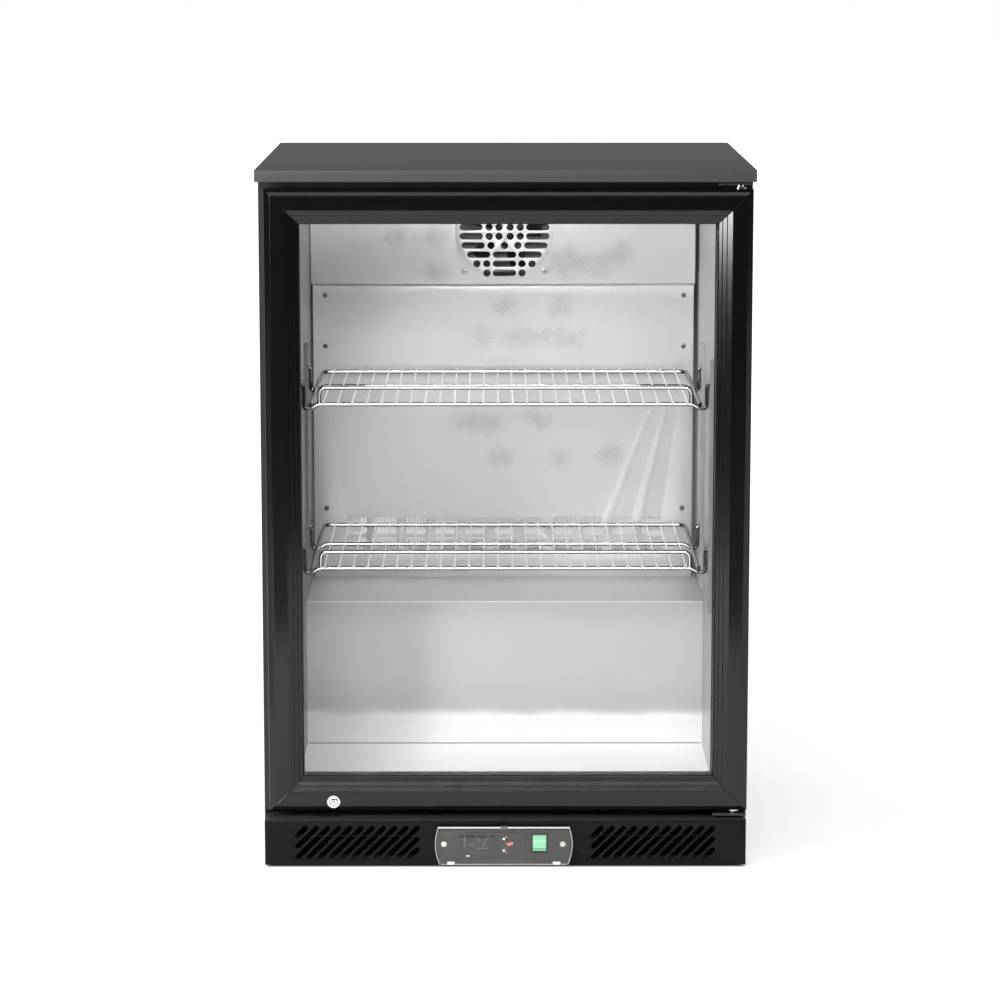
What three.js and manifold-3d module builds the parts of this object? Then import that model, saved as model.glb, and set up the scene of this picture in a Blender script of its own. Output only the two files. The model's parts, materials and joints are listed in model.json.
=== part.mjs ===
// Undercounter bottle refrigerator with one glass door, about 600 x 520 x 857 mm.
// Millimetres, +X to the right of someone facing the door, +Y to the back, +Z up.
// The model is drawn with Y = 0 on the front edge of the worktop and Z = 0 on the floor.
// The last section moves it so that the origin is the middle of its footprint.
import * as THREE from 'three';
import { mergeVertices } from 'three/addons/utils/BufferGeometryUtils.js';
import Module from 'manifold-3d';

const wasm = await Module();
wasm.setup();

// ---------------------------------------------------------------- driving dimensions
const WIDTH = 600;
const DEPTH = 520;
const HEIGHT = 857;
const WORKTOP = 15;                 // thickness of the worktop
const SHEET = 1;                    // steel and aluminium sheet
const GAP = 0.25;                   // air left between neighbouring pieces

const BODY_HALF = 298.5;            // half the width of the outer casing
const BODY_FRONT = 46;
const BODY_BACK = 516;
const BODY_TOP = HEIGHT - WORKTOP;

const CAVITY_HALF = 254;
const CAVITY_FRONT = 48;
const CAVITY_BACK = 470;
const CAVITY_FLOOR = 105;
const CAVITY_CEILING = 814;
const HUMP_FRONT = 215;             // the step in the cavity floor, over the compressor
const HUMP_TOP = 290;

const MACHINE_FRONT = 258;          // the compressor compartment, behind and under the step
const MACHINE_TOP = 252;
const FOAM_BOTTOM = 62;

const PLINTH = { half: 296, front: 2, back: 45, bottom: 2, top: 59 };
const PAN = { half: 297.25, front: 47.25, back: 513.75, top: 27.5, thick: 1.5, skirt: 4 };
const FOOT = { x: 262, front: 78, back: 482, pad: 18, stem: 5 };

const DOOR = { left: -290, right: 297, bottom: 69.5, top: 833, front: 2, back: 38, rail: 42 };
const HINGE = { x: 281, y: 18, pin: 4, bush: 6.5, flange: 7.5, left: 255, right: 296, reach: 8 };
const LOCK = { x: -211, z: 82.5, flange: 8.25, barrel: 6.5, plug: 4.75, cam: 30, camHalf: 6 };

const FAN_PANEL = { y: 376, left: -253, right: 249, bottom: 681, top: CAVITY_CEILING - GAP };
const DUCT_PANEL = { y: 386, left: -251, right: 248, bottom: HUMP_TOP + 0.5, top: 680.5 };
const FAN = { z: 747, radius: 50, hub: 17, blade: 388, motor: 404 };

const ROD = 2.5;                    // radius of the shelves' heavy rods
const WIRE = 2.25;                  // side of the shelves' thin wires
const SHELF = { front: 64, middle: 234, back: 378, side: 238.5, lip: 20.5, lipHalf: 227.5 };
const SHELF_LEVELS = { shelf_upper: 566, shelf_lower: 362 };
const WIRES = { count: 26, half: 222.5 };
const HOOK = { stem: 246.75, rise: 23, peg: 5.25 };
const PILASTER = { half: 9, proud: 4.25, bottom: 307, top: 620 };
const PEG_SLOT = { half: 3.5, height: 15, pitch: 34 };

const CONTROL = { x: -2, plate: -1, face: -7, wide: 84.5, top: 81, foot: 78.5, low: 3, high: 51 };
const FLAP_AXIS = { y: -3.5, z: 4.5, pin: 1.25, lug: 65, lugHalf: 4.5 };
const CONTROLLER = { left: -61, right: 26, low: 11, high: 44, back: 46 };
const SWITCH = { x: 44, z: 30.5, half: 9.25, tall: 11.5, bezel: 1, wall: 0.65 };

// ---------------------------------------------------------------- materials
function paint(color, roughness, metalness, extra = {}) {
  return new THREE.MeshStandardMaterial({ color, roughness, metalness, ...extra });
}
const BLACK_STEEL = paint(0x2b2b2c, 0.45, 0.2);
const BLACK_PROFILE = paint(0x1c1c1d, 0.35, 0.1);
const BRIGHT_SHEET = paint(0xc9cbcb, 0.3, 1.0);
const CHROME = paint(0xd8d8d8, 0.12, 1.0);
const GLASS = paint(0xeaf2f0, 0.03, 0.0, { transparent: true, opacity: 0.2 });
const CLEAR_PLASTIC = paint(0xd0d4d4, 0.08, 0.0, { transparent: true, opacity: 0.35 });
const GREY_PLASTIC = paint(0x4a4a4a, 0.5, 0.0);
const BLACK_PLASTIC = paint(0x161616, 0.5, 0.0);
const GREEN_PLASTIC = paint(0x35b56a, 0.35, 0.0);
const RUBBER = paint(0x1a1a1a, 0.8, 0.0);
const FOAM = paint(0xe6dcb4, 0.9, 0.0);
const ALUMINIUM = paint(0xb9bcbe, 0.4, 1.0);
const CAST = paint(0x151515, 0.6, 0.4);
const LAMP_LENS = paint(0xf4f6f8, 0.4, 0.0);

// ---------------------------------------------------------------- shapes
function box(x0, x1, y0, y1, z0, z1) {
  return new THREE.BoxGeometry(x1 - x0, y1 - y0, z1 - z0)
    .translate((x0 + x1) / 2, (y0 + y1) / 2, (z0 + z1) / 2);
}

// A cylinder from one coordinate to another along 'x', 'y' or 'z', its other two given in order.
function rod(axis, from, to, a, b, radius, sides = 16) {
  const g = new THREE.CylinderGeometry(radius, radius, to - from, sides);
  const middle = (from + to) / 2;
  if (axis === 'x') return g.rotateZ(-Math.PI / 2).translate(middle, a, b);
  if (axis === 'y') return g.translate(a, middle, b);
  return g.rotateX(Math.PI / 2).translate(a, b, middle);
}

function shapeOf(points) {
  return new THREE.Shape(points.map(([x, y]) => new THREE.Vector2(x, y)));
}

function withHoles(shape, holes) {
  holes.forEach((hole) => shape.holes.push(hole));
  return shape;
}

function flat(shape, thickness) {
  return new THREE.ExtrudeGeometry(shape, { depth: thickness, bevelEnabled: false });
}

// A plate drawn in X and Z, with its front face at y.
function plateXZ(shape, y, thickness) {
  return flat(shape, thickness).rotateX(Math.PI / 2).translate(0, y + thickness, 0);
}

// A section drawn in Y and Z, run along X.
function runX(points, x0, x1) {
  return flat(shapeOf(points), x1 - x0).rotateX(Math.PI / 2).rotateZ(Math.PI / 2).translate(x0, 0, 0);
}

// The outline of a slot with round ends: length and width over all, turned by an angle.
function slot(x, z, length, width, angle = 0, steps = 3) {
  const straight = (length - width) / 2;
  const points = [1, -1].flatMap((end) =>
    Array.from({ length: steps + 1 }, (_, i) => {
      const a = Math.PI * (i / steps) - Math.PI / 2 + (end > 0 ? 0 : Math.PI);
      const u = end * straight + Math.cos(a) * width / 2;
      const v = Math.sin(a) * width / 2;
      return new THREE.Vector2(
        x + u * Math.cos(angle) - v * Math.sin(angle),
        z + u * Math.sin(angle) + v * Math.cos(angle),
      );
    }));
  return new THREE.Path(points);
}

function roundHole(x, z, radius, sides = 8) {
  const points = Array.from({ length: sides }, (_, i) => {
    const a = (2 * Math.PI * (i + 0.5)) / sides;
    return new THREE.Vector2(x + radius * Math.cos(a), z + radius * Math.sin(a));
  });
  return new THREE.Path(points);
}

function rectangle(x0, x1, z0, z1) {
  return shapeOf([[x0, z0], [x1, z0], [x1, z1], [x0, z1]]);
}

function turned(profile, sides = 20) {
  const points = profile.map(([r, h]) => new THREE.Vector2(r, h));
  return new THREE.LatheGeometry(points, sides);
}

// ---------------------------------------------------------------- solids
function solid(geometry) {
  const bare = new THREE.BufferGeometry().setAttribute('position', geometry.getAttribute('position'));
  if (geometry.index) bare.setIndex(geometry.index);
  const merged = mergeVertices(bare, 1e-3);
  const vertProperties = merged.attributes.position.array;
  const triVerts = new Uint32Array(merged.index.array);
  const made = new wasm.Manifold(new wasm.Mesh({ numProp: 3, vertProperties, triVerts }));
  if (made.volume() > 0) return made;
  for (let i = 0; i < triVerts.length; i += 3) {
    [triVerts[i + 1], triVerts[i + 2]] = [triVerts[i + 2], triVerts[i + 1]];
  }
  return new wasm.Manifold(new wasm.Mesh({ numProp: 3, vertProperties, triVerts }));
}

function geometryOf(manifold) {
  const { numProp, numVert, vertProperties, triVerts } = manifold.getMesh();
  const position = new Float32Array(numVert * 3);
  for (let i = 0; i < numVert; i += 1) {
    position.set(vertProperties.subarray(i * numProp, i * numProp + 3), i * 3);
  }
  return new THREE.BufferGeometry()
    .setAttribute('position', new THREE.BufferAttribute(position, 3))
    .setIndex(new THREE.BufferAttribute(triVerts, 1));
}

const join = (...pieces) => geometryOf(pieces.map(solid).reduce((a, b) => a.add(b)));
const cut = (piece, ...tools) => geometryOf(tools.map(solid).reduce((a, b) => a.subtract(b), solid(piece)));
const overlapOf = (a, b) => geometryOf(solid(a).intersect(solid(b)));

// ---------------------------------------------------------------- the tree of bodies
const model = new THREE.Group();
const cabinet = new THREE.Group();
const door = new THREE.Group();
model.add(cabinet, door);

function place(parent, name, geometry, material) {
  const mesh = new THREE.Mesh(geometryOf(solid(geometry)), material);
  mesh.geometry.computeVertexNormals();
  mesh.name = name;
  parent.add(mesh);
}

// ---------------------------------------------------------------- cabinet shell
function cavityOutline(spare, front) {
  return [
    [front, CAVITY_FLOOR - spare],
    [HUMP_FRONT + spare, CAVITY_FLOOR - spare],
    [HUMP_FRONT + spare, HUMP_TOP - spare],
    [CAVITY_BACK + spare, HUMP_TOP - spare],
    [CAVITY_BACK + spare, CAVITY_CEILING + spare],
    [front, CAVITY_CEILING + spare],
  ];
}

function buildShell() {
  const bevel = 1.5;
  const top = new THREE.ExtrudeGeometry(
    rectangle(-WIDTH / 2 + bevel, WIDTH / 2 - bevel, bevel, DEPTH - bevel),
    { depth: WORKTOP - 2 * bevel, bevelThickness: bevel, bevelSize: bevel, bevelSegments: 1 },
  ).translate(0, 0, BODY_TOP + bevel);
  place(cabinet, 'worktop', top, BLACK_STEEL);

  const inner = BODY_HALF - SHEET;
  [['casing_left', -1], ['casing_right', 1]].forEach(([name, side]) => {
    const panel = box(inner, BODY_HALF, BODY_FRONT, BODY_BACK, PAN.skirt, BODY_TOP - GAP);
    place(cabinet, name, side > 0 ? panel : panel.scale(-1, 1, 1), BLACK_STEEL);
  });
  const backSheet = BODY_BACK - SHEET;
  const back = box(-inner + GAP, inner - GAP, backSheet, BODY_BACK, MACHINE_TOP, BODY_TOP - GAP);
  place(cabinet, 'casing_back', back, BLACK_STEEL);

  const foam = cut(
    box(-inner + GAP, inner - GAP, CAVITY_FRONT - GAP, backSheet - GAP, FOAM_BOTTOM, BODY_TOP - GAP),
    runX(cavityOutline(SHEET + GAP, 0), -CAVITY_HALF - SHEET - GAP, CAVITY_HALF + SHEET + GAP),
    box(-WIDTH, WIDTH, MACHINE_FRONT, DEPTH, 0, MACHINE_TOP),
  );
  place(cabinet, 'insulation', foam, FOAM);

  const frame = withHoles(
    rectangle(-inner + GAP, inner - GAP, PLINTH.top + 1, BODY_TOP - GAP),
    [rectangle(-CAVITY_HALF, CAVITY_HALF, CAVITY_FLOOR, CAVITY_CEILING)],
  );
  place(cabinet, 'front_frame', plateXZ(frame, BODY_FRONT, 1.5), BLACK_STEEL);
}

function buildLiner() {
  const front = CAVITY_FRONT;
  const wall = [
    [front, CAVITY_FLOOR - SHEET], [HUMP_FRONT - SHEET, CAVITY_FLOOR - SHEET],
    [HUMP_FRONT - SHEET, HUMP_TOP - SHEET], [CAVITY_BACK, HUMP_TOP - SHEET],
    [CAVITY_BACK, CAVITY_CEILING], [front, CAVITY_CEILING],
  ];
  place(cabinet, 'liner_left', runX(wall, -CAVITY_HALF - SHEET, -CAVITY_HALF), BRIGHT_SHEET);
  place(cabinet, 'liner_right', runX(wall, CAVITY_HALF, CAVITY_HALF + SHEET), BRIGHT_SHEET);

  const side = CAVITY_HALF - GAP;
  const back = box(-side, side, CAVITY_BACK - SHEET, CAVITY_BACK, HUMP_TOP, CAVITY_CEILING);
  place(cabinet, 'liner_back', back, BRIGHT_SHEET);
  const reach = CAVITY_HALF + SHEET;
  const ceiling = box(-reach, reach, front, CAVITY_BACK, CAVITY_CEILING, CAVITY_CEILING + SHEET);
  place(cabinet, 'liner_ceiling', ceiling, BRIGHT_SHEET);
  const floor = [
    [front, CAVITY_FLOOR - SHEET], [HUMP_FRONT, CAVITY_FLOOR - SHEET],
    [HUMP_FRONT, HUMP_TOP - SHEET], [CAVITY_BACK, HUMP_TOP - SHEET],
    [CAVITY_BACK, HUMP_TOP], [HUMP_FRONT - SHEET, HUMP_TOP],
    [HUMP_FRONT - SHEET, CAVITY_FLOOR], [front, CAVITY_FLOOR],
  ];
  place(cabinet, 'liner_floor', runX(floor, -side, side), BRIGHT_SHEET);
}

// ---------------------------------------------------------------- base, plinth and feet
function switchWindow() {
  const { x, z, half, tall } = SWITCH;
  const middle = CONTROL.x + x;
  return rectangle(middle - half - GAP, middle + half + GAP, z - tall - GAP, z + tall + GAP);
}

// Nine full slanting slots with two shorter ones at each end, centred on x.
function ventSlots(x) {
  const pitch = 13.6;
  const low = 8.5;
  const high = 51.5;
  const width = 6.5;
  const reach = (high - low - width) / 2;
  const z = (low + high) / 2;
  const half = 8 * pitch / 2 + reach;
  const holes = [];
  for (let i = -6; i <= 6; i += 1) {
    const start = Math.max(i * pitch - reach, -half);
    const end = Math.min(i * pitch + reach, half);
    const middle = (start + end) / 2;
    const length = (end - start) * Math.SQRT2 + width;
    holes.push(slot(x + middle, z + middle - i * pitch, length, width, Math.PI / 4));
  }
  return holes;
}

function buildBase() {
  const face = withHoles(rectangle(-PLINTH.half, PLINTH.half, PLINTH.bottom, PLINTH.top), [
    ...ventSlots(-180), ...ventSlots(180),
    rectangle(CONTROL.x + CONTROLLER.left, CONTROL.x + CONTROLLER.right, CONTROLLER.low, CONTROLLER.high),
    switchWindow(),
  ]);
  const { half, front, back, bottom, top } = PLINTH;
  const slotCentre = LOCK.x - 7;
  const plinth = cut(
    join(
      plateXZ(face, front, SHEET),
      box(-half, half, front, back, top - SHEET, top),
      box(-half, -half + SHEET, front, back, bottom, top),
      box(half - SHEET, half, front, back, bottom, top),
      box(-half, half, front, front + 9, bottom, bottom + SHEET),
    ),
    box(slotCentre - 15, slotCentre + 15, HINGE.y, HINGE.y + 6, top - 3, top + 1),
  );
  place(cabinet, 'plinth_grille', plinth, BLACK_STEEL);

  const keeper = cut(
    box(slotCentre - 24, slotCentre + 24, HINGE.y - 4, HINGE.y + 10, top - 3, top - SHEET - GAP),
    box(slotCentre - 15, slotCentre + 15, HINGE.y, HINGE.y + 6, top - 4, top),
  );
  place(cabinet, 'lock_keeper', keeper, ALUMINIUM);

  const skirt = 1;
  const footHoles = [-FOOT.x, FOOT.x].flatMap((x) =>
    [FOOT.front, FOOT.back].map((y) => rod('z', 20, 30, x, y, FOOT.stem + 0.5, 10)));
  const pan = cut(
    box(-PAN.half, PAN.half, PAN.front, PAN.back, PAN.skirt, PAN.top),
    box(-PAN.half + skirt, PAN.half - skirt, 0, PAN.back - skirt, 0, PAN.top - PAN.thick),
    ...footHoles,
  );
  place(cabinet, 'base_pan', pan, ALUMINIUM);

  const foot = [[0, 0], [FOOT.pad, 0], [FOOT.pad, 5], [FOOT.stem + 4, 12], [FOOT.stem + 4, 19],
    [FOOT.stem, 19], [FOOT.stem, 42], [0, 42]];
  [['front', FOOT.front], ['rear', FOOT.back]].forEach(([row, y]) => {
    [['left', -FOOT.x], ['right', FOOT.x]].forEach(([side, x]) => {
      const standing = turned(foot, 16).rotateX(Math.PI / 2).translate(x, y, 0);
      place(cabinet, `foot_${row}_${side}`, standing, BLACK_PLASTIC);
    });
  });
}

// ---------------------------------------------------------------- controls in the plinth
// The outline of the control plate and its cover: straight top and foot, sides bowed out.
function controlOutline(inset, low = CONTROL.low, high = CONTROL.high) {
  const { x, wide, top, foot } = CONTROL;
  const steps = 6;
  const right = Array.from({ length: steps + 1 }, (_, i) => {
    const t = i / steps;
    const chord = foot + (top - foot) * t;
    const middle = (top + foot) / 2;
    const bow = (wide - middle) * 4 * t * (1 - t);
    return [chord + bow - inset, low + inset + (high - low - 2 * inset) * t];
  });
  const left = right.map(([u, z]) => [-u, z]).reverse();
  return [...right, ...left].map(([u, z]) => [x + u, z]);
}

function buildControls() {
  const { x, plate, face, wide, low, high } = CONTROL;
  const front = PLINTH.front;
  const windows = [
    rectangle(x + CONTROLLER.left, x + CONTROLLER.right, CONTROLLER.low, CONTROLLER.high),
    switchWindow(),
  ];
  const lugs = [-1, 1].map((side) => {
    const middle = x + side * FLAP_AXIS.lug;
    const reach = FLAP_AXIS.lugHalf;
    return cut(
      box(middle - reach, middle + reach, FLAP_AXIS.y - 2.5, plate, low, FLAP_AXIS.z + 3),
      rod('x', middle - 9, middle + 9, FLAP_AXIS.y, FLAP_AXIS.z + 0.25, FLAP_AXIS.pin + 0.25, 10),
    );
  });
  const backing = plateXZ(withHoles(shapeOf(controlOutline(1, low - 0.5)), windows), plate, front - plate);
  place(cabinet, 'control_plate', join(backing, ...lugs), GREY_PLASTIC);

  // The clear cover: a shallow tray turned over the plate, hinged on two pins at its foot.
  const notches = [-1, 1].map((side) => {
    const middle = x + side * FLAP_AXIS.lug;
    const half = FLAP_AXIS.lugHalf + 0.5;
    return box(middle - half, middle + half, face - 1, plate + 1, 0, FLAP_AXIS.z + 4.5);
  });
  const pins = [-1, 1].map((side) => {
    const middle = x + side * FLAP_AXIS.lug;
    return rod('x', middle - 6, middle + 6, FLAP_AXIS.y, FLAP_AXIS.z + 0.25, FLAP_AXIS.pin, 10);
  });
  const tray = cut(
    plateXZ(shapeOf(controlOutline(0)), face, plate - GAP - face),
    plateXZ(shapeOf(controlOutline(1.5)), face + 1.5, 10),
    box(x - wide - 1, x + wide + 1, FLAP_AXIS.y + 1.5, front, 0, FLAP_AXIS.z + 1.5),
    ...notches,
  );
  const tab = box(x - 4, x + 4.5, face - 0.5, plate - GAP, high - 1, high + 2);
  place(cabinet, 'control_cover', join(tray, tab, ...pins), CLEAR_PLASTIC);

  const keys = { key_up: [x, 36], key_down: [x, 21], key_set: [x - 44, 14.5] };
  const keyHalf = { x: 4.5, z: 3 };
  const sockets = Object.values(keys).map(([kx, kz]) =>
    box(kx - keyHalf.x - GAP, kx + keyHalf.x + GAP, -5, 3, kz - keyHalf.z - GAP, kz + keyHalf.z + GAP));
  const { left, right, back } = CONTROLLER;
  const rise = [CONTROLLER.low + GAP, CONTROLLER.high - GAP];
  const controller = cut(
    join(
      box(x + left + GAP, x + right - GAP, plate - 0.75, front + SHEET + 1, ...rise),
      box(x + left + 4, x + right - 4, front, back, CONTROLLER.low + 3, CONTROLLER.high - 3),
    ),
    ...sockets,
  );
  place(cabinet, 'controller', controller, BLACK_PLASTIC);
  Object.entries(keys).forEach(([name, [kx, kz]]) => {
    const key = box(kx - keyHalf.x, kx + keyHalf.x, plate - 1.25, 1.75, kz - keyHalf.z, kz + keyHalf.z);
    place(cabinet, name, key, BLACK_PLASTIC);
  });

  const { half, tall, bezel, wall, z } = SWITCH;
  const sx = x + SWITCH.x;
  const rim = { half: half + bezel, tall: tall + bezel };
  const shell = cut(
    join(
      box(sx - rim.half, sx + rim.half, plate - 1.25, plate, z - rim.tall, z + rim.tall),
      box(sx - half, sx + half, plate - GAP, 24, z - tall, z + tall),
    ),
    box(sx - half + wall, sx + half - wall, -10, 12, z - tall + wall, z + tall - wall),
  );
  place(cabinet, 'switch_body', shell, BLACK_PLASTIC);
  const rocker = runX([
    [-4, z + 10], [-2, z + 1.5], [-2, z - 1.5], [-1.8, z - 10],
    [1.5, z - 10], [6, z - 3], [6, z + 3], [1.5, z + 10],
  ], sx - half + wall + 0.35, sx + half - wall - 0.35);
  place(cabinet, 'switch_rocker', rocker, GREEN_PLASTIC);
}

// ---------------------------------------------------------------- door
// The section of the door frame: across the frame from its outer edge, and back from its face.
function railSection() {
  const pocket = { edge: 31, front: 11.5, back: 32.5 };
  const depth = DOOR.back - DOOR.front;
  return [
    [0, depth], [0, 7], [2.5, 2.5], [8, 0], [25, 0], [31, 3], [34, 3.5], [35.5, 6.5],
    [38, 7], [39.5, 10], [DOOR.rail, 10.5], [DOOR.rail, pocket.front],
    [pocket.edge, pocket.front], [pocket.edge, pocket.back],
    [DOOR.rail, pocket.back], [DOOR.rail, depth],
  ];
}

// One bar of the frame along +X, its outer edge on z = 0, both ends mitred.
function mitredBar(length) {
  const hairline = 0.15;
  const section = railSection().map(([u, v]) => [v, u]);
  const wide = DOOR.rail;
  const trapezium = shapeOf([
    [hairline, 0], [length - hairline, 0],
    [length - wide - hairline - 1, wide + 1], [wide + 1 + hairline, wide + 1],
  ]);
  return overlapOf(runX(section, 0, length), plateXZ(trapezium, -1, 60));
}

function doorRing(outer, width, y0, y1) {
  const edges = (u) => [DOOR.left + u, DOOR.right - u, DOOR.bottom + u, DOOR.top - u];
  return plateXZ(withHoles(rectangle(...edges(outer)), [rectangle(...edges(outer + width))]), y0, y1 - y0);
}

function buildDoor() {
  const wide = DOOR.right - DOOR.left;
  const tall = DOOR.top - DOOR.bottom;
  const hingeBore = rod('z', 0, HEIGHT, HINGE.x, HINGE.y, HINGE.bush + GAP, 20);
  const bores = [
    overlapOf(hingeBore, box(200, 300, 0, 60, DOOR.bottom - 5, DOOR.bottom + 18)),
    overlapOf(hingeBore, box(200, 300, 0, 60, DOOR.top - 18, DOOR.top + 5)),
  ];
  const lockBore = rod('y', -5, 20, LOCK.x, LOCK.z, LOCK.barrel + GAP, 16);
  const camPocket = box(LOCK.x - LOCK.cam - 2, LOCK.x + 9, 19, 24, DOOR.bottom - 2, LOCK.z + 9);

  const bars = {
    door_rail_bottom: mitredBar(wide).translate(DOOR.left, 0, DOOR.bottom),
    door_stile_right: mitredBar(tall).rotateY(-Math.PI / 2).translate(DOOR.right, 0, DOOR.bottom),
    door_rail_top: mitredBar(wide).rotateY(Math.PI).translate(DOOR.right, 0, DOOR.top),
    door_stile_left: mitredBar(tall).rotateY(Math.PI / 2).translate(DOOR.left, 0, DOOR.top),
  };
  Object.entries(bars).forEach(([name, bar]) => {
    const moved = bar.translate(0, DOOR.front, 0);
    const tools = name.includes('left') ? [] : [...bores];
    if (name === 'door_rail_bottom') tools.push(lockBore, camPocket);
    place(door, name, tools.length ? cut(moved, ...tools) : moved, BLACK_PROFILE);
  });

  const pane = 31.5;
  const paneSides = [DOOR.left + pane, DOOR.right - pane];
  const paneEnds = [DOOR.bottom + pane, DOOR.top - pane];
  const glassOf = (y0) => box(...paneSides, y0, y0 + 4, ...paneEnds);
  place(door, 'glass_outer', glassOf(13.75), GLASS);
  place(door, 'glass_inner', glassOf(30.25), GLASS);
  place(door, 'glass_spacer', doorRing(pane + 1, 10, 17.75, 30.25), ALUMINIUM);
  place(door, 'door_gasket', doorRing(12, 12, DOOR.back + GAP, BODY_FRONT - 0.5), RUBBER);

  // Flanged bushes, open right through for the hinge pins.
  const bushBore = HINGE.pin + GAP;
  const bush = [[bushBore, 0], [HINGE.flange, 0], [HINGE.flange, 2], [HINGE.bush, 2],
    [HINGE.bush, 17], [bushBore, 17], [bushBore, 0]];
  const upright = turned(bush, 20).rotateX(Math.PI / 2);
  const inverted = upright.clone().rotateX(Math.PI);
  place(door, 'hinge_bush_bottom', upright.clone().translate(HINGE.x, HINGE.y, DOOR.bottom - 2), CHROME);
  place(door, 'hinge_bush_top', inverted.translate(HINGE.x, HINGE.y, DOOR.top + 2), CHROME);

  const lockRing = [[LOCK.plug + GAP, -2], [LOCK.flange, -2], [LOCK.flange, 0], [LOCK.barrel, 0],
    [LOCK.barrel, 16.5], [LOCK.plug + GAP, 16.5], [LOCK.plug + GAP, -2]];
  place(door, 'lock_body', turned(lockRing, 20).translate(LOCK.x, DOOR.front, LOCK.z), CHROME);
  const keyway = box(LOCK.x - 0.75, LOCK.x + 0.75, -5, 4, LOCK.z - 2.75, LOCK.z + 2.75);
  const plug = cut(rod('y', -0.5, 19.75, LOCK.x, LOCK.z, LOCK.plug, 20), keyway);
  place(door, 'lock_plug', plug, CHROME);
  const cam = join(
    rod('y', 19.75, 21.75, LOCK.x, LOCK.z, LOCK.camHalf, 16),
    box(LOCK.x - LOCK.cam, LOCK.x, 19.75, 21.75, LOCK.z - LOCK.camHalf, LOCK.z + LOCK.camHalf),
  );
  place(door, 'lock_cam', cam, ALUMINIUM);
}

// Each bracket is a plate under or over the door with an upstand on the front frame and a pin.
function buildHinges() {
  const { x, y, pin, left, right, reach } = HINGE;
  const back = BODY_FRONT - GAP;
  place(cabinet, 'hinge_bracket_top', join(
    box(left, right, reach, back, DOOR.top + 5, DOOR.top + 8),
    box(left, right, back - 1.5, back, DOOR.top + 1, DOOR.top + 8),
    rod('z', DOOR.top - 14, DOOR.top + 7, x, y, pin, 20),
  ), CHROME);
  place(cabinet, 'hinge_bracket_bottom', join(
    box(left, right, reach, back, DOOR.bottom - 7, DOOR.bottom - 4),
    box(left, right, back - 1.5, back, DOOR.bottom - 7, DOOR.bottom - 1),
    rod('z', DOOR.bottom - 6, DOOR.bottom + 14, x, y, pin, 20),
  ), CHROME);
}

// ---------------------------------------------------------------- shelves and their supports
// A bent rod: a curve through given points, with one section of the tube at each point.
class BentRod extends THREE.Curve {
  constructor(points) {
    super();
    this.points = points.map((p) => new THREE.Vector3(...p));
  }

  getPoint(t) {
    const last = this.points.length - 1;
    const i = Math.min(Math.floor(t * last), last - 1);
    return this.points[i].clone().lerp(this.points[i + 1], t * last - i);
  }

  getSpacedPoints() {
    return this.points;
  }

  getTangentAt(t) {
    const last = this.points.length - 1;
    const i = Math.round(t * last);
    const before = this.points[Math.max(i - 1, 0)];
    const here = this.points[i];
    const after = this.points[Math.min(i + 1, last)];
    const along = new THREE.Vector3();
    if (i > 0) along.add(here.clone().sub(before).normalize());
    if (i < last) along.add(after.clone().sub(here).normalize());
    return along.normalize();
  }
}

function bentRod(points, radius, sides = 6) {
  const section = shapeOf(Array.from({ length: sides }, (_, i) => {
    const a = (2 * Math.PI * i) / sides;
    return [radius * Math.cos(a), radius * Math.sin(a)];
  }));
  return new THREE.ExtrudeGeometry(section, { steps: points.length - 1, extrudePath: new BentRod(points) });
}

const mirrored = (half) => [...half, ...half.map(([x, y, z]) => [-x, y, z]).reverse()];

// A cross rod: it dips under the side rods, then turns up into a hook whose peg enters the pilaster.
function hookedRod(y) {
  const { stem, rise, peg } = HOOK;
  const dip = -2 * ROD;
  return bentRod(mirrored([
    [-stem - peg, y, rise], [-stem - 1, y, rise], [-stem, y, rise - 2],
    [-stem, y, dip + 5], [-stem + 2, y, dip + 1.5], [-stem + 5, y, dip],
    [-SHELF.side + 4, y, dip], [-SHELF.side + 11, y, 0],
  ]), ROD);
}

function buildShelf(name, level) {
  const { front, middle, back, side, lip, lipHalf } = SHELF;
  const frame = bentRod(mirrored([
    [-side, front - 1, -0.25], [-side, back - 12, -0.25],
    [-side + 3.5, back - 3.5, 0], [-side + 12, back, 0],
  ]), ROD);
  const guard = bentRod(mirrored([
    [-lipHalf, front, 1], [-lipHalf, front, lip - 8],
    [-lipHalf + 2.5, front, lip - 2.5], [-lipHalf + 8, front, lip],
  ]), ROD);
  const wires = Array.from({ length: WIRES.count }, (_, i) => {
    const x = -WIRES.half + (2 * WIRES.half * i) / (WIRES.count - 1);
    return box(x - WIRE / 2, x + WIRE / 2, front - 1.5, back + 1.5, ROD - 0.5, ROD - 0.5 + WIRE);
  });
  const shelf = join(frame, hookedRod(front), hookedRod(middle), guard, ...wires);
  place(cabinet, name, shelf.translate(0, 0, level), CHROME);
}

function buildPilasters() {
  const { half, proud, bottom, top } = PILASTER;
  const face = CAVITY_HALF - proud;
  const pegLevels = [];
  const lowest = SHELF_LEVELS.shelf_lower + HOOK.rise - 2 * PEG_SLOT.pitch;
  for (let z = lowest; z < top - PEG_SLOT.height; z += PEG_SLOT.pitch) pegLevels.push(z);
  [['front', SHELF.front], ['rear', SHELF.middle]].forEach(([row, y]) => {
    const pegSlots = pegLevels.map((level) => {
      const sill = level - ROD - 0.5;
      return box(face - 1, face + 2, y - PEG_SLOT.half, y + PEG_SLOT.half, sill, sill + PEG_SLOT.height);
    });
    const channel = cut(
      box(face, CAVITY_HALF - GAP, y - half, y + half, bottom, top),
      box(face + 1, CAVITY_HALF + 1, y - half + 1, y + half - 1, bottom - 1, top + 1),
      ...pegSlots,
    );
    place(cabinet, `pilaster_${row}_right`, channel, BRIGHT_SHEET);
    place(cabinet, `pilaster_${row}_left`, channel.clone().scale(-1, 1, 1), BRIGHT_SHEET);
  });
}

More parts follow.
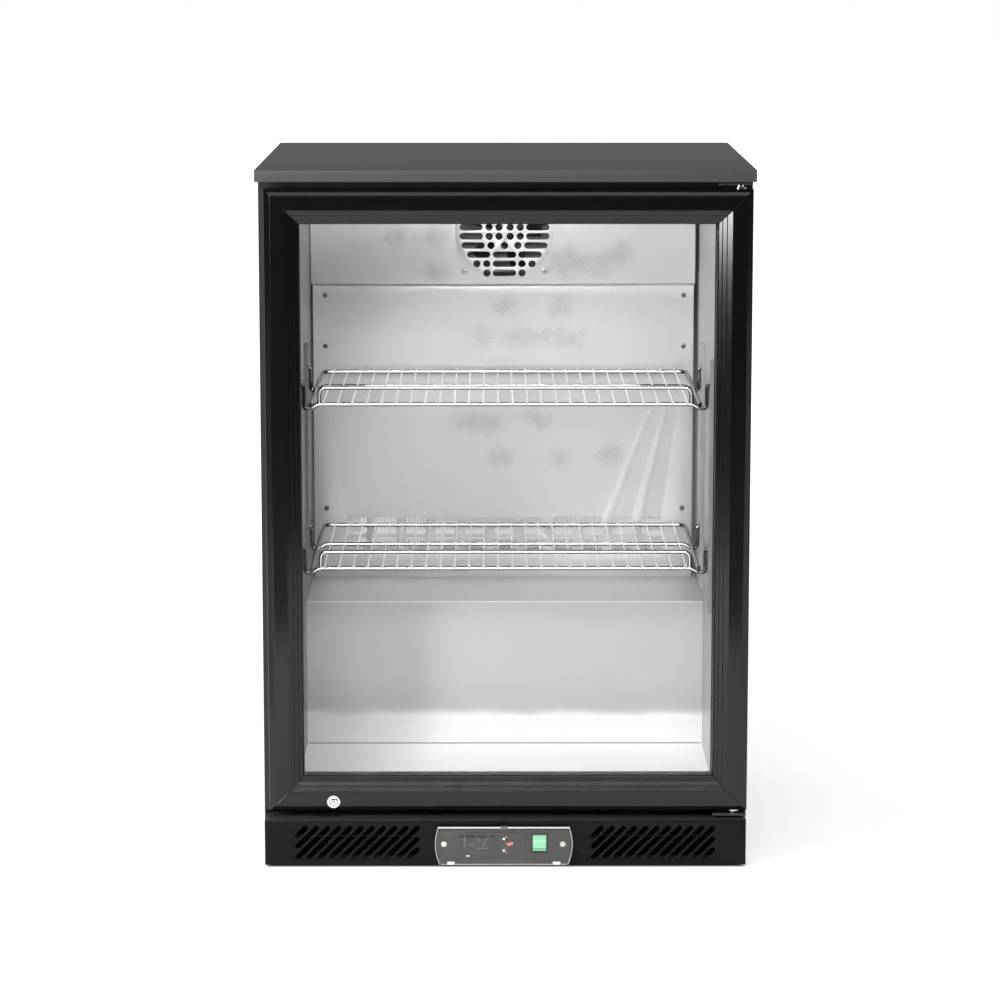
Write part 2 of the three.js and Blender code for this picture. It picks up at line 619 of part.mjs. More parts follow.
// ---------------------------------------------------------------- evaporator, fan and lamp
// The round pattern of slots and holes over the fan, given for the rows below its middle.
function fanHoles() {
  const pitch = 12.2;
  const long = 29.5;
  const thick = 8.25;
  const rows = [
    { slots: [-43.5, 43.5], holes: [-20, -7, 7.5, 20.5] },
    { slots: [-41, 41], holes: [-17.5, 0, 17.5] },
    { slots: [-33.5, 0, 33.5], holes: [] },
    { slots: [0], holes: [-36, -23, 23, 36] },
    { slots: [0], holes: [-23, 23] },
  ];
  return rows.flatMap((row, i) => [-1, 1].flatMap((side) => {
    const z = FAN.z + side * pitch * (i + 0.5);
    return [
      ...row.slots.map((x) => slot(x, z, long, thick)),
      ...row.holes.map((x) => roundHole(x, z, 4.4)),
    ];
  }));
}

function returnSlots() {
  const columns = 11;
  const pitch = 39;
  const holes = [];
  for (let row = 0; row < 4; row += 1) {
    for (let i = 0; i < columns; i += 1) {
      holes.push(slot((i - (columns - 1) / 2) * pitch, 326 + row * 13.6, 27, 9));
    }
  }
  return holes;
}

function bladeWheel(radius, hub, width, count, pitchAngle) {
  const blades = Array.from({ length: count }, (_, i) =>
    box(hub - 3, radius, -width / 2, width / 2, -radius * 0.27, radius * 0.27)
      .rotateX(pitchAngle).rotateY((2 * Math.PI * i) / count));
  return join(rod('y', -8, 8, 0, 0, hub, 16), ...blades);
}

// A finned coil: thin fins side by side on a back plate, along X.
function finnedBlock(x0, x1, y0, y1, z0, z1, fins) {
  const step = (x1 - x0 - 1.5) / (fins - 1);
  const teeth = [];
  for (let i = 0; i < fins; i += 1) {
    const x = x0 + i * step;
    teeth.push([x, y0], [x + 1.5, y0]);
    if (i < fins - 1) teeth.push([x + 1.5, y1 - 6], [x + step, y1 - 6]);
  }
  const outline = [...teeth, [x1, y1], [x0, y1]];
  return flat(shapeOf(outline), z1 - z0).translate(0, 0, z0);
}

function buildCooling() {
  const { y, left, right, bottom, top } = FAN_PANEL;
  const fanPanel = join(
    plateXZ(withHoles(rectangle(left, right, bottom, top), fanHoles()), y, SHEET),
    box(left, right, y, DUCT_PANEL.y - GAP, bottom, bottom + SHEET),
  );
  place(cabinet, 'fan_panel', fanPanel, BRIGHT_SHEET);
  const duct = DUCT_PANEL;
  const ductSheet = withHoles(rectangle(duct.left, duct.right, duct.bottom, duct.top), returnSlots());
  place(cabinet, 'duct_panel', plateXZ(ductSheet, duct.y, SHEET), BRIGHT_SHEET);

  const coilBack = CAVITY_BACK - SHEET - GAP;
  place(cabinet, 'evaporator', finnedBlock(-190, 190, 396, coilBack, 320, 560, 18), ALUMINIUM);
  const wheel = bladeWheel(FAN.radius, FAN.hub, 2, 5, 0.6).translate(0, FAN.blade + 9, FAN.z);
  place(cabinet, 'fan_blade', wheel, BLACK_PLASTIC);
  const motor = join(
    rod('y', FAN.motor + 6, 450, 0, FAN.z, 26, 20),
    rod('y', FAN.blade + 17 + GAP, FAN.motor + 7, 0, FAN.z, 4, 10),
    box(-45, 45, 448, CAVITY_BACK - SHEET - GAP, FAN.z - 12, FAN.z + 12),
  );
  place(cabinet, 'fan_motor', motor, CAST);
  place(cabinet, 'lamp', box(-190, 190, 60, 84, CAVITY_CEILING - 11, CAVITY_CEILING - GAP), LAMP_LENS);
}

// ---------------------------------------------------------------- compressor compartment
function buildMachine() {
  const floor = PAN.top + GAP;
  const can = [[0, 5], [60, 5], [72, 16], [74, 40], [74, 100], [66, 132], [40, 152], [0, 158]];
  const compressor = join(
    turned(can, 20).rotateX(Math.PI / 2).translate(-180, 395, floor),
    box(-265, -95, 350, 440, floor, floor + 6),
  );
  place(cabinet, 'compressor', compressor, CAST);
  place(cabinet, 'condenser', finnedBlock(65, 265, 290, 350, floor, 225, 14), ALUMINIUM);
  const wheel = bladeWheel(78, 24, 2, 5, 0.5).translate(165, 380, 125);
  place(cabinet, 'condenser_fan_blade', wheel, BLACK_PLASTIC);
  const motor = join(
    rod('y', 400, 455, 165, 125, 34, 20),
    rod('y', 388 + GAP, 401, 165, 125, 5, 10),
    box(145, 185, 415, 445, floor, 125),
    box(125, 205, 405, 455, floor, floor + 3),
  );
  place(cabinet, 'condenser_fan_motor', motor, CAST);
  const tray = cut(
    box(-80, 50, 290, 470, floor, floor + 35),
    box(-78, 48, 292, 468, floor + 2, floor + 40),
  );
  place(cabinet, 'condensate_tray', tray, BLACK_PLASTIC);

  const gland = { x: 262, z: 45, hole: 6.25 };
  const half = BODY_HALF - SHEET - GAP;
  const openings = [rod('y', BODY_BACK - 5, BODY_BACK + 5, gland.x, gland.z, gland.hole, 12)];
  for (let row = 0; row < 7; row += 1) {
    for (let column = -1; column <= 1; column += 1) {
      const x = column * 180;
      const z = 60 + row * 26;
      openings.push(box(x - 75, x + 75, BODY_BACK - 5, BODY_BACK + 5, z, z + 8));
    }
  }
  const grille = cut(box(-half, half, BODY_BACK - 1.5, BODY_BACK, 8, MACHINE_TOP - 1), ...openings);
  place(cabinet, 'rear_grille', grille, BLACK_STEEL);
  const ring = [[4, -8], [6, -8], [6, GAP], [10, GAP], [10, 3.5], [4, 3.5], [4, -8]];
  place(cabinet, 'cable_gland', turned(ring, 12).translate(gland.x, BODY_BACK, gland.z), BLACK_PLASTIC);
}

// ---------------------------------------------------------------- assembly
buildShell();
buildLiner();
buildBase();
buildControls();
buildHinges();
buildDoor();
buildPilasters();
Object.entries(SHELF_LEVELS).forEach(([name, level]) => buildShelf(name, level));
buildCooling();
buildMachine();

// The origin is the middle of the footprint, from the cover's tab at the front to the worktop's back edge.
const FRONT_MOST = CONTROL.face - 0.5;
model.position.y = -(FRONT_MOST + DEPTH) / 2;

export default model;
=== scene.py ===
# %% [markdown]
# # A glass-door bottle refrigerator that stands under a counter
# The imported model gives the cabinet, the door, the joints and every size. This lesson dresses
# it: pieces whose edges or curves need more detail are modelled again in their own place, and
# every surface gets a finish made of nodes. Each place is worked out from the frame's boxes.

# %% Load the frame
import json
from contextlib import contextmanager
from math import cos, pi, radians, sin

import bpy
from mathutils import Matrix, Vector


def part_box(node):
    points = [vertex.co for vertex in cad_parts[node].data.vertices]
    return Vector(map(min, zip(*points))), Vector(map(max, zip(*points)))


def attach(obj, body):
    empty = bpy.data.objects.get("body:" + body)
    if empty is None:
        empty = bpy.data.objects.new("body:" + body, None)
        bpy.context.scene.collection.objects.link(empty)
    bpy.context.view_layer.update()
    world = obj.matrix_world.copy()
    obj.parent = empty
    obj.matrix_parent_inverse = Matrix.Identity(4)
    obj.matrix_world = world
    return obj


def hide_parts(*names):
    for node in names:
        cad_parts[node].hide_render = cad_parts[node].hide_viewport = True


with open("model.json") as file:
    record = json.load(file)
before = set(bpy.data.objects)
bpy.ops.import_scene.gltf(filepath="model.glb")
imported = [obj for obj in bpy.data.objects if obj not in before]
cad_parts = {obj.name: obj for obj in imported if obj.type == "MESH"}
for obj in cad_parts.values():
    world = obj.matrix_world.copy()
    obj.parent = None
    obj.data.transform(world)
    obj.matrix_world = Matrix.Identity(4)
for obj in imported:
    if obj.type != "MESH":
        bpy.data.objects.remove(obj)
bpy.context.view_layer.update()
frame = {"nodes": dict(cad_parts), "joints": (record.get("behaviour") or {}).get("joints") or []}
nodes = frame["nodes"]

# %% [markdown]
# ## Millimetres from the worktop's front edge
# A cabinet maker measures a cooler from the front edge of its worktop and from the floor.
# The same is done here: x from the middle, y back from that edge, z up, all in millimetres,
# and one function turns such a point into the metres that the scene works in.

# %% Points in millimetres
MM = 0.001
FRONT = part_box("worktop")[0].y


def at(x, y, z):
    """A point in the scene, from millimetres."""
    return Vector((x * MM, FRONT + y * MM, z * MM))


def span(node):
    """The box of a node in millimetres: (x0, x1), (y0, y1), (z0, z1)."""
    low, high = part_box(node)
    low, high = (low - Vector((0, FRONT, 0))) / MM, (high - Vector((0, FRONT, 0))) / MM
    return tuple((low[i], high[i]) for i in range(3))


def mid_point(node):
    """The middle of a node's box in millimetres."""
    return [sum(side) / 2 for side in span(node)]


print("worktop:", [[round(v, 1) for v in side] for side in span("worktop")])

# %% [markdown]
# ## The tools that shape the pieces
# Small helpers stand for what a hand does again and again: pick one object, open it for
# editing, place a block, run one section along a bar, turn a profile round an axis, and finish
# with a modifier. They use Blender's own operators, so each step can be repeated by hand.

# %% Pick, settle and modify
def pick(piece):
    """Leaves one object selected and active."""
    bpy.ops.object.select_all(action="DESELECT")
    piece.select_set(True)
    bpy.context.view_layer.objects.active = piece


@contextmanager
def editing(piece):
    """Opens one object for editing, with all of its mesh selected."""
    pick(piece)
    bpy.ops.object.mode_set(mode="EDIT")
    bpy.ops.mesh.select_all(action="SELECT")
    yield
    bpy.ops.object.mode_set(mode="OBJECT")


def settle(piece, name):
    """Moves the object's place into its mesh and names it."""
    pick(piece)
    bpy.ops.object.transform_apply(location=True, rotation=True, scale=True)
    piece.name = piece.data.name = name
    return piece


def modify(piece, kind, **values):
    """Adds one modifier and applies it."""
    pick(piece)
    modifier = piece.modifiers.new(kind, kind)
    for key, value in values.items():
        setattr(modifier, key, value)
    bpy.ops.object.modifier_apply(modifier=modifier.name)
    return piece


def soften(piece, width, segments=3, angle=30):
    """Rounds the sharp edges and shades the result smooth."""
    modify(piece, "BEVEL", width=width * MM, segments=segments, limit_method="ANGLE",
           angle_limit=radians(angle), use_clamp_overlap=True)
    pick(piece)
    bpy.ops.object.shade_smooth_by_angle(angle=radians(35))
    return piece


def close_up(piece):
    """Merges doubles and points every face outwards."""
    with editing(piece):
        bpy.ops.mesh.remove_doubles(threshold=0.01 * MM)
        bpy.ops.mesh.normals_make_consistent(inside=False)
    return piece


# %% Blocks, bars and turned pieces
def block(name, x, y, z):
    """A box between two numbers on each axis."""
    middle = at(sum(x) / 2, sum(y) / 2, sum(z) / 2)
    size = [(b - a) * MM for a, b in (x, y, z)]
    bpy.ops.object.select_all(action="DESELECT")
    bpy.ops.mesh.primitive_cube_add(size=1, location=middle, scale=size)
    return settle(bpy.context.object, name)


def outline_face(points):
    """A flat face whose corners are the given points."""
    bpy.ops.object.select_all(action="DESELECT")
    bpy.ops.mesh.primitive_circle_add(vertices=len(points), fill_type="NGON")
    face = bpy.context.object
    for vertex, point in zip(face.data.vertices, points):
        vertex.co = point
    return face


def extrude(face, move):
    """Extrudes a flat face into a closed solid."""
    with editing(face):
        bpy.ops.mesh.extrude_region_move(TRANSFORM_OT_translate={"value": move})
    return close_up(face)


def bar(name, section, x0, x1):
    """A bar along X whose section is given in Y and Z."""
    face = outline_face([at(x0, y, z) for y, z in section])
    return settle(extrude(face, ((x1 - x0) * MM, 0, 0)), name)


def plate(name, outline, y0, y1):
    """A plate whose outline is given in X and Z, between two depths."""
    face = outline_face([at(x, y0, z) for x, z in outline])
    return settle(extrude(face, (0, (y1 - y0) * MM, 0)), name)


def turned(name, profile, centre, axis, steps=48):
    """A turned piece: radius and height along an axis, 'Y' or 'Z', from a centre."""
    face = outline_face([Vector((r * MM, 0, h * MM)) for r, h in profile])
    with editing(face):
        bpy.ops.mesh.delete(type="ONLY_FACE")
        bpy.ops.mesh.select_all(action="SELECT")
        bpy.ops.mesh.spin(steps=steps, angle=2 * pi, center=(0, 0, 0), axis=(0, 0, 1))
    close_up(face)
    if axis == "Y":
        face.data.transform(Matrix.Rotation(-pi / 2, 4, "X"))
    face.data.transform(Matrix.Translation(at(*centre)))
    pick(face)
    bpy.ops.object.shade_smooth_by_angle(angle=radians(35))
    return settle(face, name)


# %% Copies, joins and cuts
def copied(piece, name, matrix):
    """A copy with its own mesh, moved by a matrix."""
    twin = piece.copy()
    twin.data = piece.data.copy()
    bpy.context.scene.collection.objects.link(twin)
    twin.data.transform(matrix)
    twin.name = twin.data.name = name
    return twin


def shifted(x=0.0, y=0.0, z=0.0):
    """A move in millimetres."""
    return Matrix.Translation((x * MM, y * MM, z * MM))


def joined(name, pieces):
    """Several objects as one."""
    bpy.ops.object.select_all(action="DESELECT")
    for piece in pieces:
        piece.select_set(True)
    bpy.context.view_layer.objects.active = pieces[0]
    bpy.ops.object.join()
    return settle(bpy.context.object, name)


def cut(piece, cutters, operation="DIFFERENCE"):
    """Cuts all the cutters from a piece, or joins them on, and removes them."""
    tool = joined("cutter", cutters) if len(cutters) > 1 else cutters[0]
    modify(piece, "BOOLEAN", operation=operation, object=tool, solver="EXACT", use_self=True)
    bpy.data.objects.remove(tool)
    return piece


def rod(name, x, y, z, radius, vertices=32):
    """A round rod or hole cutter along the one axis that has two numbers."""
    ends = [value if isinstance(value, tuple) else (value, value) for value in (x, y, z)]
    middle = at(*[sum(pair) / 2 for pair in ends])
    length = max(b - a for a, b in ends)
    turn = {0: (0, pi / 2, 0), 1: (pi / 2, 0, 0), 2: (0, 0, 0)}
    along = [i for i in range(3) if ends[i][0] != ends[i][1]][0]
    bpy.ops.object.select_all(action="DESELECT")
    bpy.ops.mesh.primitive_cylinder_add(
        vertices=vertices, radius=radius * MM, depth=length * MM,
        location=middle, rotation=turn[along])
    return settle(bpy.context.object, name)


def slot_cutter(x, z, length, width, y, angle=0.0):
    """A cutter for a slot with round ends, through a sheet at depth y."""
    cutter = rod("slot", 0, (y - 6, y + 6), 0, width / 2, 20)
    half = (length - width) / 2 * MM
    for vertex in cutter.data.vertices:
        vertex.co.x += half if vertex.co.x > 0 else -half
    cutter.data.transform(Matrix.Rotation(-angle, 4, "Y"))
    cutter.data.transform(shifted(x, 0, z))
    return cutter


# %% [markdown]
# Rods are bent cold round a former, so every corner is a sweep and never a mitre. A route of
# points with swept corners becomes a curve with a round section, and the curve becomes a mesh.

# %% Bent rods
def rounded(points, radius, steps=5):
    """A route through the points, each inner corner swept round at a radius."""
    route = [Vector(points[0])]
    for before, corner, after in zip(points, points[1:], points[2:]):
        before, corner, after = Vector(before), Vector(corner), Vector(after)
        into, out = (before - corner), (after - corner)
        reach = min(radius, into.length * 0.49, out.length * 0.49)
        start, end = corner + into.normalized() * reach, corner + out.normalized() * reach
        for step in range(steps + 1):
            t = step / steps
            route.append(start * (1 - t) ** 2 + corner * 2 * t * (1 - t) + end * t ** 2)
    return route + [Vector(points[-1])]


def bent_rod(name, points, radius, bend=8, smooth=3):
    """A round rod bent along a route given in millimetres."""
    route = [at(*point) for point in rounded(points, bend)]
    bpy.ops.object.select_all(action="DESELECT")
    bpy.ops.curve.primitive_nurbs_path_add()
    curve = bpy.context.object.data
    curve.splines.clear()
    spline = curve.splines.new("POLY")
    spline.points.add(len(route) - 1)
    for point, place in zip(spline.points, route):
        point.co = (*place, 1)
    curve.bevel_depth = radius * MM
    curve.bevel_resolution = smooth
    curve.use_fill_caps = True
    bpy.ops.object.convert(target="MESH")
    made = close_up(bpy.context.object)
    bpy.ops.object.shade_smooth_by_angle(angle=radians(50))
    return settle(made, name)


# %% [markdown]
# ## The finishes
# A coated sheet, a drawn wire and a moulded cover all differ in small things: how fine the
# grain is, which way it runs, and how much the gloss varies. One function builds the common
# part, a noise on Object coordinates that moves colour, roughness and relief a little, and
# each finish only states its own numbers.

# %% The common finish
def triple(value):
    """Three numbers as they are, or one number three times."""
    return value if isinstance(value, tuple) else (value,) * 3


def finish(name, dark, light, roughness, metallic=0.0, grain=300, relief=0.1, depth=0.1,
           **sockets):
    """A surface whose colour, gloss and relief follow one stretched noise."""
    material = bpy.data.materials.new(name)
    material.use_nodes = True
    tree = material.node_tree
    shader = tree.nodes["Principled BSDF"]
    coordinates = tree.nodes.new("ShaderNodeTexCoord")
    stretch = tree.nodes.new("ShaderNodeMapping")
    stretch.inputs["Scale"].default_value = triple(grain)
    noise = tree.nodes.new("ShaderNodeTexNoise")
    noise.inputs["Scale"].default_value = 1.0
    noise.inputs["Detail"].default_value = 3.0
    tint = tree.nodes.new("ShaderNodeMix")
    tint.data_type = "RGBA"
    tint.inputs["A"].default_value = (*triple(dark), 1)
    tint.inputs["B"].default_value = (*triple(light), 1)
    gloss = tree.nodes.new("ShaderNodeMapRange")
    gloss.inputs["From Min"].default_value = 0.3
    gloss.inputs["From Max"].default_value = 0.7
    gloss.inputs["To Min"].default_value = roughness[0]
    gloss.inputs["To Max"].default_value = roughness[1]
    bump = tree.nodes.new("ShaderNodeBump")
    bump.inputs["Strength"].default_value = relief
    bump.inputs["Distance"].default_value = depth * MM
    tree.links.new(coordinates.outputs["Object"], stretch.inputs["Vector"])
    tree.links.new(stretch.outputs["Vector"], noise.inputs["Vector"])
    tree.links.new(noise.outputs["Fac"], tint.inputs["Factor"])
    tree.links.new(noise.outputs["Fac"], gloss.inputs["Value"])
    tree.links.new(noise.outputs["Fac"], bump.inputs["Height"])
    tree.links.new(tint.outputs["Result"], shader.inputs["Base Color"])
    tree.links.new(gloss.outputs["Result"], shader.inputs["Roughness"])
    tree.links.new(bump.outputs["Normal"], shader.inputs["Normal"])
    shader.inputs["Metallic"].default_value = metallic
    for key, value in sockets.items():
        shader.inputs[key.replace("_", " ")].default_value = value
    return material


def ramp_between(tree, value, low, high, start=0.0, end=1.0):
    """A smooth step of a value."""
    step = tree.nodes.new("ShaderNodeMapRange")
    step.interpolation_type = "SMOOTHSTEP"
    limits = {"From Min": low, "From Max": high, "To Min": start, "To Max": end}
    for key, number in limits.items():
        step.inputs[key].default_value = number
    tree.links.new(value, step.inputs["Value"])
    return step.outputs["Result"]


def combine(tree, operation, first, second=None):
    """One Math node, whose second input is a link, a number or nothing."""
    node = tree.nodes.new("ShaderNodeMath")
    node.operation = operation
    tree.links.new(first, node.inputs[0])
    if isinstance(second, float):
        node.inputs[1].default_value = second
    elif second is not None:
        tree.links.new(second, node.inputs[1])
    return node.outputs["Value"]


def recolour(material, factor, colour):
    """Mixes one more colour over the base colour of a finish."""
    tree = material.node_tree
    base = tree.nodes["Principled BSDF"].inputs["Base Color"]
    mix = tree.nodes.new("ShaderNodeMix")
    mix.data_type = "RGBA"
    mix.inputs["B"].default_value = (*triple(colour), 1)
    tree.links.new(factor, mix.inputs["Factor"])
    tree.links.new(base.links[0].from_socket, mix.inputs["A"])
    tree.links.new(mix.outputs["Result"], base)


def axes(material):
    """The Object coordinates of a finish, split into X, Y and Z."""
    tree = material.node_tree
    split = tree.nodes.new("ShaderNodeSeparateXYZ")
    tree.links.new(tree.nodes["Texture Coordinate"].outputs["Object"], split.inputs["Vector"])
    return split.outputs


# %% [markdown]
# ### Coated steel, profile, wire and mouldings
# The casing is powder coated: near black, satin, with the fine skin of an orange. The worktop
# is the same coat but worn by use, so its gloss varies more. Copies of the one coat also differ
# in darkness, painted light and shade: the worktop copy is lighter, the copy on the sides, the
# front frame and the hinge brackets is lighter so that it shows in the shaded gaps, and the
# plinth copy is darker. The door profile is smoother and is drawn along its length. Wires are
# chromed, so they keep a small, even roughness.

# %% Coats, metals and plastics
# Painted light: the worktop copy of the casing coat is lighter.
worktop_coat = finish("worktop_coat", 0.051, 0.060, (0.42, 0.52), grain=900, relief=0.12,
                      depth=0.08, Specular_IOR_Level=0.3)
casing_coat = finish("casing_coat", 0.003, 0.005, (0.38, 0.46), grain=1100, relief=0.10,
                     depth=0.06, Specular_IOR_Level=0.3)
# Painted light: a lighter copy of the casing coat, so the sides and the front frame show in the
# shaded gaps.
side_coat = finish("side_coat", 0.015, 0.020, (0.40, 0.48), grain=1100, relief=0.10, depth=0.06)
profile_coat = finish("profile_coat", 0.003, 0.004, (0.11, 0.13), grain=60, relief=0.0,
                      depth=0.02, Specular_IOR_Level=0.4)
wire_chrome = finish("wire_chrome", 0.72, 0.80, (0.08, 0.13), 1.0, grain=200, relief=0.02,
                     depth=0.02)
# Painted highlight: the thin wires and their welds glow a little.
fine_chrome = finish("fine_chrome", 0.62, 0.72, (0.25, 0.35), 0.2, grain=200, relief=0.02,
                     depth=0.02, Emission_Strength=0.16)
bright_chrome = finish("bright_chrome", 0.72, 0.80, (0.08, 0.16), 1.0, grain=700, relief=0.05,
                       depth=0.03)
screw_steel = finish("screw_steel", 0.50, 0.62, (0.22, 0.34), 1.0, grain=1500, relief=0.1,
                     depth=0.03)
dark_screw = finish("dark_screw", 0.12, 0.22, (0.25, 0.35), 1.0, grain=1500, relief=0.1,
                    depth=0.03)
# Painted light: the nickel of the control screws glows a little.
nickel = finish("nickel", (0.84, 0.81, 0.74), (0.94, 0.91, 0.84), (0.35, 0.45), 0.1, grain=1500,
                relief=0.08, depth=0.03, Emission_Color=(1.0, 0.97, 0.90, 1),
                Emission_Strength=0.08)
controller_face = finish("controller_face", (0.052, 0.048, 0.046), (0.060, 0.056, 0.054),
                         (0.3, 0.4), grain=900, relief=0.05, depth=0.03)
tab_smoke = finish("tab_smoke", 0.10, 0.13, (0.2, 0.3), relief=0.0, Alpha=0.85)
mill_aluminium = finish("mill_aluminium", 0.50, 0.62, (0.32, 0.45), 1.0, grain=(60, 900, 900),
                        relief=0.12, depth=0.05)
copper = finish("copper", (0.62, 0.28, 0.16), (0.74, 0.36, 0.22), (0.25, 0.40), 1.0, grain=200,
                relief=0.1, depth=0.05)
panel_grey = finish("panel_grey", 0.050, 0.064, (0.38, 0.46), grain=1600, relief=0.15, depth=0.04)
moulded_black = finish("moulded_black", 0.012, 0.018, (0.45, 0.58), grain=1300, relief=0.2,
                       depth=0.06)
lug_white = finish("lug_white", 0.75, 0.82, (0.35, 0.45), grain=1300, relief=0.1, depth=0.04)
seal_rubber = finish("seal_rubber", 0.012, 0.020, (0.62, 0.78), grain=800, relief=0.25, depth=0.1)
foam_cream = finish("foam_cream", (0.62, 0.52, 0.30), (0.80, 0.72, 0.46), (0.85, 0.95), grain=450,
                    relief=0.6, depth=0.4)
cast_black = finish("cast_black", 0.010, 0.022, (0.38, 0.55), 0.0, grain=500, relief=0.3,
                    depth=0.15)
spacer_black = finish("spacer_black", 0.02, 0.03, (0.4, 0.5), 0.6, grain=600, relief=0.1,
                      depth=0.05)
display_glass = finish("display_glass", 0.030, 0.036, (0.10, 0.16), relief=0.04, depth=0.05,
                       Coat_Weight=0.3)
# Painted light: the printed marks glow, so they stay bright.
mark_white = finish("mark_white", 0.80, 0.88, (0.4, 0.5), grain=900, Emission_Strength=0.8)
mark_red = finish("mark_red", (0.80, 0.12, 0.05), (0.92, 0.22, 0.10), (0.3, 0.4), grain=900,
                  Emission_Color=(1.0, 0.24, 0.12, 1), Emission_Strength=0.6)
# Painted light: the rocker finish glows a little.
rocker_green = finish("rocker_green", (0.30, 0.76, 0.46), (0.36, 0.84, 0.52), (0.16, 0.24),
                      grain=250, relief=0.03, depth=0.03, Emission_Color=(0.40, 0.95, 0.58, 1),
                      Emission_Strength=0.16)
shroud_grey = finish("shroud_grey", (0.105, 0.098, 0.090), (0.135, 0.127, 0.118), (0.30, 0.42),
                     relief=0.05, depth=0.05)
# Painted light: the coil finish glows faintly, so the fins and the packing show bright through the
# slots.
coil_fins = finish("coil_fins", (0.70, 0.69, 0.69), (0.78, 0.77, 0.77), (0.35, 0.45), 0.2,
                   relief=0.05, depth=0.05, Emission_Color=(1.0, 0.99, 0.99, 1),
                   Emission_Strength=0.20)
fold_shade_grey = finish("fold_shade_grey", 0.05, 0.08, (0.5, 0.6))
edge_highlight = finish("edge_highlight", 0.90, 0.96, (0.3, 0.4), 0.1, relief=0.0,
                     Emission_Strength=0.30)
# Painted shade: a near-perfect black for the inside of the plinth and behind the vents.
painted_shade_black = finish("painted_shade_black", 0.0006, 0.0010, (0.8, 0.9), Specular_IOR_Level=0.05)
# Painted shade: a darker copy of the casing coat for the plinth.
plinth_coat = finish("plinth_coat", 0.0015, 0.003, (0.34, 0.40), grain=1100, relief=0.06,
                     depth=0.06, Specular_IOR_Level=0.17)
lamp_diffuser = finish("lamp_diffuser", 0.85, 0.92, (0.45, 0.55), grain=200, relief=0.05,
                       Emission_Strength=30.0)

# %% [markdown]
# A chromed rod mirrors the room in front of it along its middle and the dark sides of the
# room along its outline. That reflection is painted: Layer Weight gives the slant, the colour is
# darkened at both edges and the middle glows a little, a painted highlight. The top of the
# plinth is painted lighter by a step on its normal, a painted light on the faces that look up.

# %% Chrome with a painted reflection, plinth top with painted light
tree = wire_chrome.node_tree
slant = tree.nodes.new("ShaderNodeLayerWeight")
slant.inputs["Blend"].default_value = 0.5
facing = slant.outputs["Facing"]
x, _, _ = axes(wire_chrome)
# Painted reflection: the outline of each rod, and the rod ends near the walls, are painted dark.
hook = ramp_between(tree, combine(tree, "ABSOLUTE", x), 0.232, 0.240)
rim = combine(tree, "MAXIMUM", ramp_between(tree, facing, 0.10, 0.24),
              combine(tree, "MULTIPLY", hook, 0.72))
recolour(wire_chrome, rim, 0.03)
# Painted highlight: the middle of each rod glows, but not at the rod ends near the walls.
middle = ramp_between(tree, facing, 0.01, 0.11, 0.55, 0.0)
tree.links.new(combine(tree, "MULTIPLY", middle, combine(tree, "LESS_THAN", hook, 0.5)),
               tree.nodes["Principled BSDF"].inputs["Emission Strength"])
# Painted light: the faces of the plinth that look up are painted lighter.
tree = plinth_coat.node_tree
shape = tree.nodes.new("ShaderNodeNewGeometry")
normal = tree.nodes.new("ShaderNodeSeparateXYZ")
tree.links.new(shape.outputs["Normal"], normal.inputs["Vector"])
recolour(plinth_coat, ramp_between(tree, normal.outputs["Z"], 0.5, 1.0), 0.055)
print("finishes:", len(bpy.data.materials))

# %% [markdown]
# ### The liner sheet
# The cavity is lined with bright aluminium. It is nearly a mirror, but rolling leaves soft
# clouds in its gloss, and it shows patches of fine, darker slanting strokes. The clouds are the
# noise of the common finish, made large. The strokes are a wave across the sheet that shows only
# inside soft round patches, whose middles are listed in millimetres.

# %% Bright liner sheet
STROKE_PATCHES = [(-140, 744), (-90, 741), (-88, 696), (76, 701), (86, 721), (125, 707), (154, 725),
        (1, 651), (73, 651), (-32, 610), (14, 610), (53, 611), (92, 608), (-55, 501),
        (-19, 495), (46, 501), (-6, 451), (73, 448), (138, 455)]


def liner_sheet(name, dark, light, roughness, metallic=1.0, streaked=False):
    """Bright sheet, with patches of darker slanting strokes."""
    material = finish(name, dark, light, roughness, metallic,
                      grain=4, relief=0.02, depth=0.1)
    if not streaked:
        return material
    tree = material.node_tree
    place = tree.nodes["Texture Coordinate"].outputs["Object"]
    slant = tree.nodes.new("ShaderNodeMapping")
    slant.inputs["Rotation"].default_value = (0, radians(-34), 0)
    strokes = tree.nodes.new("ShaderNodeTexWave")
    strokes.inputs["Scale"].default_value = 98
    strokes.inputs["Distortion"].default_value = 5.0
    strokes.inputs["Detail Scale"].default_value = 0.25
    tree.links.new(place, slant.inputs["Vector"])
    tree.links.new(slant.outputs["Vector"], strokes.inputs["Vector"])
    total = None
    for x, z in STROKE_PATCHES:
        centred = tree.nodes.new("ShaderNodeMapping")
        centred.vector_type = "TEXTURE"
        centred.inputs["Location"].default_value = at(x, 381, z)
        centred.inputs["Scale"].default_value = (0.034, 1.0, 0.028)
        ball = tree.nodes.new("ShaderNodeTexGradient")
        ball.gradient_type = "SPHERICAL"
        tree.links.new(place, centred.inputs["Vector"])
        tree.links.new(centred.outputs["Vector"], ball.inputs["Vector"])
        spot = ball.outputs["Fac"]
        total = spot if total is None else combine(tree, "ADD", total, spot)
    ragged = tree.nodes.new("ShaderNodeTexNoise")
    ragged.inputs["Scale"].default_value = 70
    ragged.inputs["Detail"].default_value = 4
    tree.links.new(place, ragged.inputs["Vector"])
    for factor in (ragged.outputs["Fac"], strokes.outputs["Fac"]):
        total = combine(tree, "MULTIPLY", total, factor)
    share = tree.nodes.new("ShaderNodeMapRange")
    share.inputs["From Min"].default_value = 0.14
    share.inputs["From Max"].default_value = 0.36
    share.inputs["To Max"].default_value = 0.55
    tree.links.new(total, share.inputs["Value"])
    recolour(material, share.outputs["Result"], (0.30, 0.26, 0.25))
    return material


